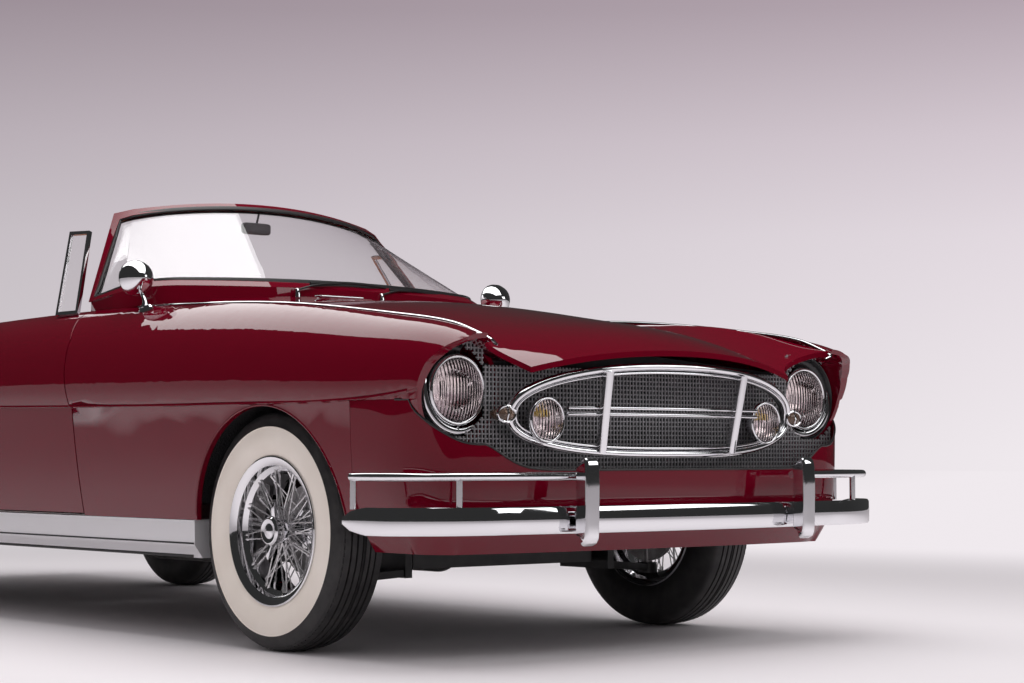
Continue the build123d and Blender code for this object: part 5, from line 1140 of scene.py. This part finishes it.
def gauge(name, y, z, radius):
    """Round dial with its bezel, face, marks and needle on the dashboard's rear face."""
    centre = (DASH_X, y, z)
    bezel = ((0, radius + 5), (-6, radius + 4), (-8, radius), (-7, radius - 2), (-3, radius - 3),
             (0, radius - 3))
    turned_piece(f"{name}_bezel", bezel, centre, "x", *CHROME, 48)
    turned_piece(f"{name}_face", ((-2.5, radius - 2.5), (-2.6, 0)), centre, "x", dial, "car_body", "chrome",
                 48)
    marks = []
    on_face = Vector((DASH_X - 3.4, y, z))
    for k in range(21):
        a = radians(225 - 270 * k / 20)
        way = Vector((0, cos(a), sin(a)))
        start = radius * (0.74 if k % 2 == 0 else 0.80)
        marks.append(swept((on_face + way * start, on_face + way * radius * 0.89),
                           pad_section(1.4, 0.8, 0.2, 1), (1, 0, 0)))
    piece(f"{name}_marks", *joined(marks), whitewall, "car_body", "chrome")
    a = radians(214)
    way = Vector((0, cos(a), sin(a)))
    over_face = Vector((DASH_X - 4.6, y, z))
    swept_piece(f"{name}_needle", (over_face - way * radius * 0.18, over_face + way * radius * 0.7),
                pad_section(2.0, 1.0, 0.3, 1), *RUBY, (1, 0, 0))
    turned_piece(f"{name}_boss", ((-3, 5), (-6.4, 4.6), (-7, 0)), centre, "x", *SOFT_BLACK, 24)


gauge("speed_dial", 440, 1000, 56)
gauge("engine_speed_dial", 302, 1000, 56)
for number, y in enumerate((150, 70, -10)):
    gauge(f"small_dial_{number}", y, 1008, 33)
for number, y in enumerate((220, 150, 80, 10, -60)):
    turned_piece(f"dash_knob_{number}", ((0, 5), (-12, 4.5), (-13, 10), (-20, 11), (-24, 8), (-25, 0)),
                 (DASH_X, y, 935), "x", *SOFT_BLACK, 24)
corners = [Vector((543.6, y, z)) for y, z in ((-180, 1040), (-180, 938), (-520, 930), (-520, 1026))]
lid_edge = [a.lerp(b, t) for a, b in zip(corners, corners[1:] + corners[:1])
            for t in (0.06, 0.3, 0.5, 0.7, 0.94)]
swept_piece("glovebox_lid_edge", lid_edge, pad_section(2.2, 2.2, 0.8, 1), *SOFT_BLACK, (1, 0, 0), True)
turned_piece("glovebox_button", ((0, 9), (-8, 9), (-11, 7), (-12, 0)), (DASH_X, -350, 1022), "x", *CHROME, 24)
dash_strip = [(542.5, -630 + 1260 * k / 20, 916) for k in range(21)]
swept_piece("dash_strip", dash_strip, pad_section(3, 8, 1.2), *CHROME, (0, 0, 1))
swept_piece("gear_lever", smooth_path([(420, 0, 500), (424, 0, 600), (400, 0, 700), (396, 0, 742)], 20),
            round_section(6, 10), *CHROME, (0, 1, 0))
turned_piece("gear_lever_knob", ((0, 6), (4, 16), (14, 23), (26, 24), (38, 18), (44, 8), (46, 0)),
             (396, 0, 738), "z", *SOFT_BLACK, 32)
gaiter = [(0, 62), (6, 60), (18, 46), (22, 49), (30, 36), (34, 39), (44, 26), (48, 28), (60, 14), (66, 9),
          (66, 0)]
turned_piece("gear_lever_boot", gaiter, (421, 0, 496), "z", *HIDE, 32)

# ---------------------------------------------------------------- doors: inner trim and handles
DOOR_SKIN_Y = 878.0
for side, way in SIDES:
    body = f"door_{side}"
    y = way * 795
    into, out = ("-y", "y") if way > 0 else ("y", "-y")
    outline = [(-650, 420), (-660, 440), (-660, 905), (-650, 920), (395, 920), (410, 905), (410, 440),
               (400, 420)]
    rows = []
    for k, d in ((0, 0), (0, 3), (0.8, 5.5), (2.5, 6.5)):
        rows.append([(x + (-4 if x > 0 else 4) * k, y - way * (0.4 + d), z + (-4 if z > 600 else 4) * k)
                     for x, z in outline])
    lofted(f"door_card_{side}", rows, leather, body, "leather")
    for number, z in enumerate((520, 780)):
        swept_piece(f"door_card_bead_{side}_{number}", ((-645, y - way * 7.5, z), (395, y - way * 7.5, z)),
                    round_section(3.5, 8), brushed, body, "steel")
    bulge = [(-560, 640), (-200, 636), (100, 640), (130, 600), (100, 566), (-200, 560), (-560, 566),
             (-580, 600)]
    bulge = smooth_path(bulge + bulge[:1], 41)[:-1]
    rows = [[(-225 + (x + 225) * inset, y - way * d, 600 + (z - 600) * inset) for x, z in bulge]
            for inset, d in ((1.0, 6), (1.0, 10), (0.97, 16), (0.90, 21), (0.7, 24), (0.3, 25))]
    lofted(f"door_pocket_{side}", rows, leather, body, "leather")
    turned_piece(f"window_winder_base_{side}", ((6, 22), (12, 21), (15, 12), (26, 11), (27, 0)),
                 (-60, y, 840), into, chrome, body, "chrome", 32)
    swept_piece(f"window_winder_{side}", ((-60, y - way * 26, 840), (-118, y - way * 30, 812),
                                          (-128, y - way * 31, 806)), pad_section(5, 14, 2), chrome, body,
                "chrome", (0, way, 0))
    pull = smooth_path([(120, y - way * 7, 860), (118, y - way * 22, 860), (60, y - way * 26, 862),
                        (40, y - way * 24, 862)], 14)
    swept_piece(f"door_latch_lever_{side}", pull, pad_section(12, 5, 2), chrome, body, "chrome", (0, 0, 1))
    stand_off = ((-640, -3), (-632, 4), (-600, 8), (-500, 8), (-468, 2), (-462, -4))
    grip = smooth_path([(x, way * (DOOR_SKIN_Y + off), 900) for x, off in stand_off], 30)
    swept_piece(f"door_handle_{side}", grip, pad_section(6, 15, 2.6), chrome, body, "chrome", (0, 0, 1),
                scale=[0.6 + 0.4 * sin(pi * min(1, min(k, 29 - k) / 8) / 2) for k in range(30)])
    turned_piece(f"door_lock_{side}", ((-4, 10), (3, 10), (4, 8), (4.4, 0)),
                 (-610, way * (DOOR_SKIN_Y - 3), 872), out, chrome, body, "chrome", 24)

# ---------------------------------------------------------------- tail: lamps, blank plate, exhaust tip
for side, way in SIDES:
    centre = (-2482, way * 742, 868)
    turned_piece(f"tail_lamp_bezel_{side}", ((0, 60), (-6, 61), (-12, 59), (-17, 54), (-18, 50), (-16, 48),
                                             (-13, 49), (0, 53), (0, 60)), centre, "x", *CHROME, 64, 50.0)
    turned_piece(f"tail_lamp_lens_{side}", ((-13, 49.5), (-19, 46), (-25, 40), (-31, 30), (-35, 16),
                                            (-36.3, 0)), centre, "x", *RUBY, 64)
    if way > 0:
        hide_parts("tail_lamps")
    turned_piece(f"rear_reflector_{side}", ((0, 22), (-8, 22), (-11, 19), (-12, 17), (-14, 12), (-15, 0)),
                 (-2480, way * 742, 770), "x", *RUBY, 40)
PLATE_X, PLATE_Z = -2484, 670
rows = [[(PLATE_X - d, y * s, PLATE_Z + z * s) for y, z in ((-270, -60), (270, -60), (270, 60), (-270, 60))]
        for d, s in ((-3, 1.0), (4, 1.0), (6, 0.985), (6, 0.97))]
lofted("blank_plate", rows, whitewall, "car_body", "chrome")
frame_line = ((-264, -54), (0, -54), (264, -54), (264, 0), (264, 54), (0, 54), (-264, 54), (-264, 0))
edge = [(PLATE_X - 7, y, PLATE_Z + z) for y, z in frame_line]
swept_piece("blank_plate_frame", edge, pad_section(5, 5, 1.5, 1), *CHROME, (1, 0, 0), True)
swept_piece("plate_lamp_bar", ((-2486, -120, 752), (-2498, -100, 758), (-2500, 0, 760), (-2498, 100, 758),
                               (-2486, 120, 752)), pad_section(22, 14, 5), *CHROME)
grip = smooth_path([(-2424, -70, 846), (-2436, -66, 856), (-2440, -30, 862), (-2440, 30, 862),
                    (-2436, 66, 856), (-2424, 70, 846)], 24)
swept_piece("boot_handle", grip, pad_section(9, 9, 3), chrome, "boot_lid", "chrome", (1, 0, 0))
turned_piece("exhaust_tip", ((-2, 23), (-2, 26), (60, 25), (60, 22.5), (0, 21), (-2, 23)), (-2561, 230, 286),
             "x", *CHROME, 40)

# ---------------------------------------------------------------- fender mirrors
DOME = ((-34, 0), (-34, 50), (-38, 54), (-36, 57), (-28, 58), (-10, 56), (8, 48), (22, 36), (32, 20), (36, 7),
        (37, 0))
for side, way in SIDES:
    head = turned_piece(f"fender_mirror_{side}_shell", DOME, (772, way * 762, 1141), "x", *CHROME, 64, 50.0)
    if way > 0:
        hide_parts("fender_mirrors")
    stem = smooth_path([(778, way * 764, 1100), (800, way * 768, 1082), (818, way * 770, 1062),
                        (822, way * 771, 1040)], 12)
    swept_piece(f"fender_mirror_{side}_stem", stem, round_section(8.5, 12), *CHROME, (0, 1, 0),
                scale=[0.8, 0.72, 0.7, 0.7, 0.72, 0.76, 0.84, 0.95, 1.1, 1.3, 1.6, 2.0])
    points = []
    for long, wide, z, lean in ((34, 15, 1042, 4.0), (24, 9, 1050, 3.0), (36, 16, 1030, 5.0)):
        points += [(826 + long * cos(t), way * (771 + wide * sin(t)), z - lean * sin(t)) for t in TURNS[::5]]
    faces = rows_faces(2, 24, True, False, False)
    faces += [tuple(range(24, 48))]
    faces += [(k, (k + 1) % 24, 48 + (k + 1) % 24, 48 + k) for k in range(24)]
    piece(f"fender_mirror_{side}_foot", points, faces, *CHROME)

# ---------------------------------------------------------------- studio: floor, backdrop and lights
PALE = (0.79, 0.745, 0.775)
ACROSS_VIEW, BACK_TO_CAMERA = (0.653, 0.757, 0.0), (0.757, -0.653, -0.10)
FLOOR_HALF = 60


def eased(tree, value, start, end, low=0.0, high=1.0, **settings):
    """A value carried from one range into another."""
    return add(tree, "ShaderNodeMapRange", {
        "Value": value, "From Min": start, "From Max": end, "To Min": low, "To Max": high,
    }, **settings).outputs["Result"]


def along(tree, direction, way):
    """How far a direction runs a given way."""
    return add(tree, "ShaderNodeVectorMath", {0: direction, 1: way}, operation="DOT_PRODUCT").outputs["Value"]


def in_view(tree, rays):
    """1 for what the camera sees, straight or through glass."""
    return add(tree, "ShaderNodeMath", {0: rays["Is Camera Ray"], 1: rays["Is Transmission Ray"]},
               operation="MAXIMUM").outputs[0]


floor = bpy.data.meshes.new("studio_floor")
floor.from_pydata([(x * FLOOR_HALF, y * FLOOR_HALF, 0) for x, y in ((-1, -1), (1, -1), (1, 1), (-1, 1))], [],
                  [(0, 1, 2, 3)])
ground = linked("studio_floor", floor)
concrete = shader("studio_floor_paint", (0.86, 0.82, 0.845), 0.55)
floor.materials.append(concrete)
tree = concrete.node_tree
where = add(tree, "ShaderNodeTexCoord").outputs["Object"]
bearing = add(tree, "ShaderNodeVectorMath", {0: where}, operation="NORMALIZE")
# further out, the floor the camera sees glows evenly, with painted light: brighter towards the lit side of
# the view
level = eased(tree, along(tree, bearing.outputs["Vector"], ACROSS_VIEW), -0.25, 0.25, 0.80, 1.10)
painted_floor_glow = add(tree, "ShaderNodeEmission", {"Color": (*PALE, 1), "Strength": level})
span = add(tree, "ShaderNodeVectorMath", {0: where}, operation="LENGTH")
fade = eased(tree, span.outputs["Value"], 3.0, 6.5, interpolation_type="SMOOTHSTEP")
seen = in_view(tree, add(tree, "ShaderNodeLightPath").outputs)
share = add(tree, "ShaderNodeMath", {0: fade, 1: seen}, operation="MULTIPLY")
blend = add(tree, "ShaderNodeMixShader",
            {0: share.outputs[0], 1: tree.nodes["Principled BSDF"].outputs[0], 2: painted_floor_glow.outputs[0]})
tree.links.new(blend.outputs[0], tree.nodes["Material Output"].inputs["Surface"])

world = bpy.data.worlds.new("studio_air")
scene.world = world
world.use_nodes = True
tree = world.node_tree
where = add(tree, "ShaderNodeTexCoord").outputs["Generated"]
# the backdrop the camera sees is painted light falloff: darker higher up, and brighter towards the lit side
height = add(tree, "ShaderNodeSeparateXYZ", {0: where}).outputs["Z"]
sky = add(tree, "ShaderNodeValToRGB", {"Fac": height})
stops = ((0.0, PALE), (0.10, (0.70, 0.64, 0.685)), (0.145, (0.60, 0.53, 0.58)), (0.205, (0.41, 0.34, 0.386)),
         (0.6, (0.33, 0.28, 0.31)))
for k, (place, tone) in enumerate(stops):
    stop = sky.color_ramp.elements[k] if k < 2 else sky.color_ramp.elements.new(place)
    stop.position = place
    stop.color = (*tone, 1)
light_side = eased(tree, along(tree, where, ACROSS_VIEW), -0.25, 0.25, 0.80, 1.10)
wall = add(tree, "ShaderNodeVectorMath", {0: sky.outputs["Color"], "Scale": light_side}, operation="SCALE")
dim = eased(tree, along(tree, where, BACK_TO_CAMERA), -0.80, -0.20, 0.04, 0.03)
rays = add(tree, "ShaderNodeLightPath").outputs
fill = add(tree, "ShaderNodeMixRGB",
           {"Fac": rays["Is Diffuse Ray"], "Color1": dim, "Color2": (0.62, 0.60, 0.61, 1)})
pick = add(tree, "ShaderNodeMixRGB",
           {"Fac": in_view(tree, rays), "Color1": fill.outputs["Color"], "Color2": wall.outputs["Vector"]})
tree.links.new(pick.outputs["Color"], tree.nodes["Background"].inputs["Color"])


def softbox(name, place, target, width, depth, power):
    """A rectangular lamp that points at its target."""
    data = bpy.data.lights.new(name, "AREA")
    data.shape = "RECTANGLE"
    data.size, data.size_y, data.energy = width, depth, power
    obj = linked(name, data)
    obj.location = place
    obj.rotation_euler = (Vector(target) - Vector(place)).to_track_quat("-Z", "Y").to_euler()


softbox("ceiling_softbox", (0.4, -0.15, 3.7), (0.4, -0.15, 0.0), 7.5, 2.9, 170)
softbox("front_softbox", (5.2, 2.6, 2.6), (1.6, 0.0, 0.5), 2.4, 1.6, 28)
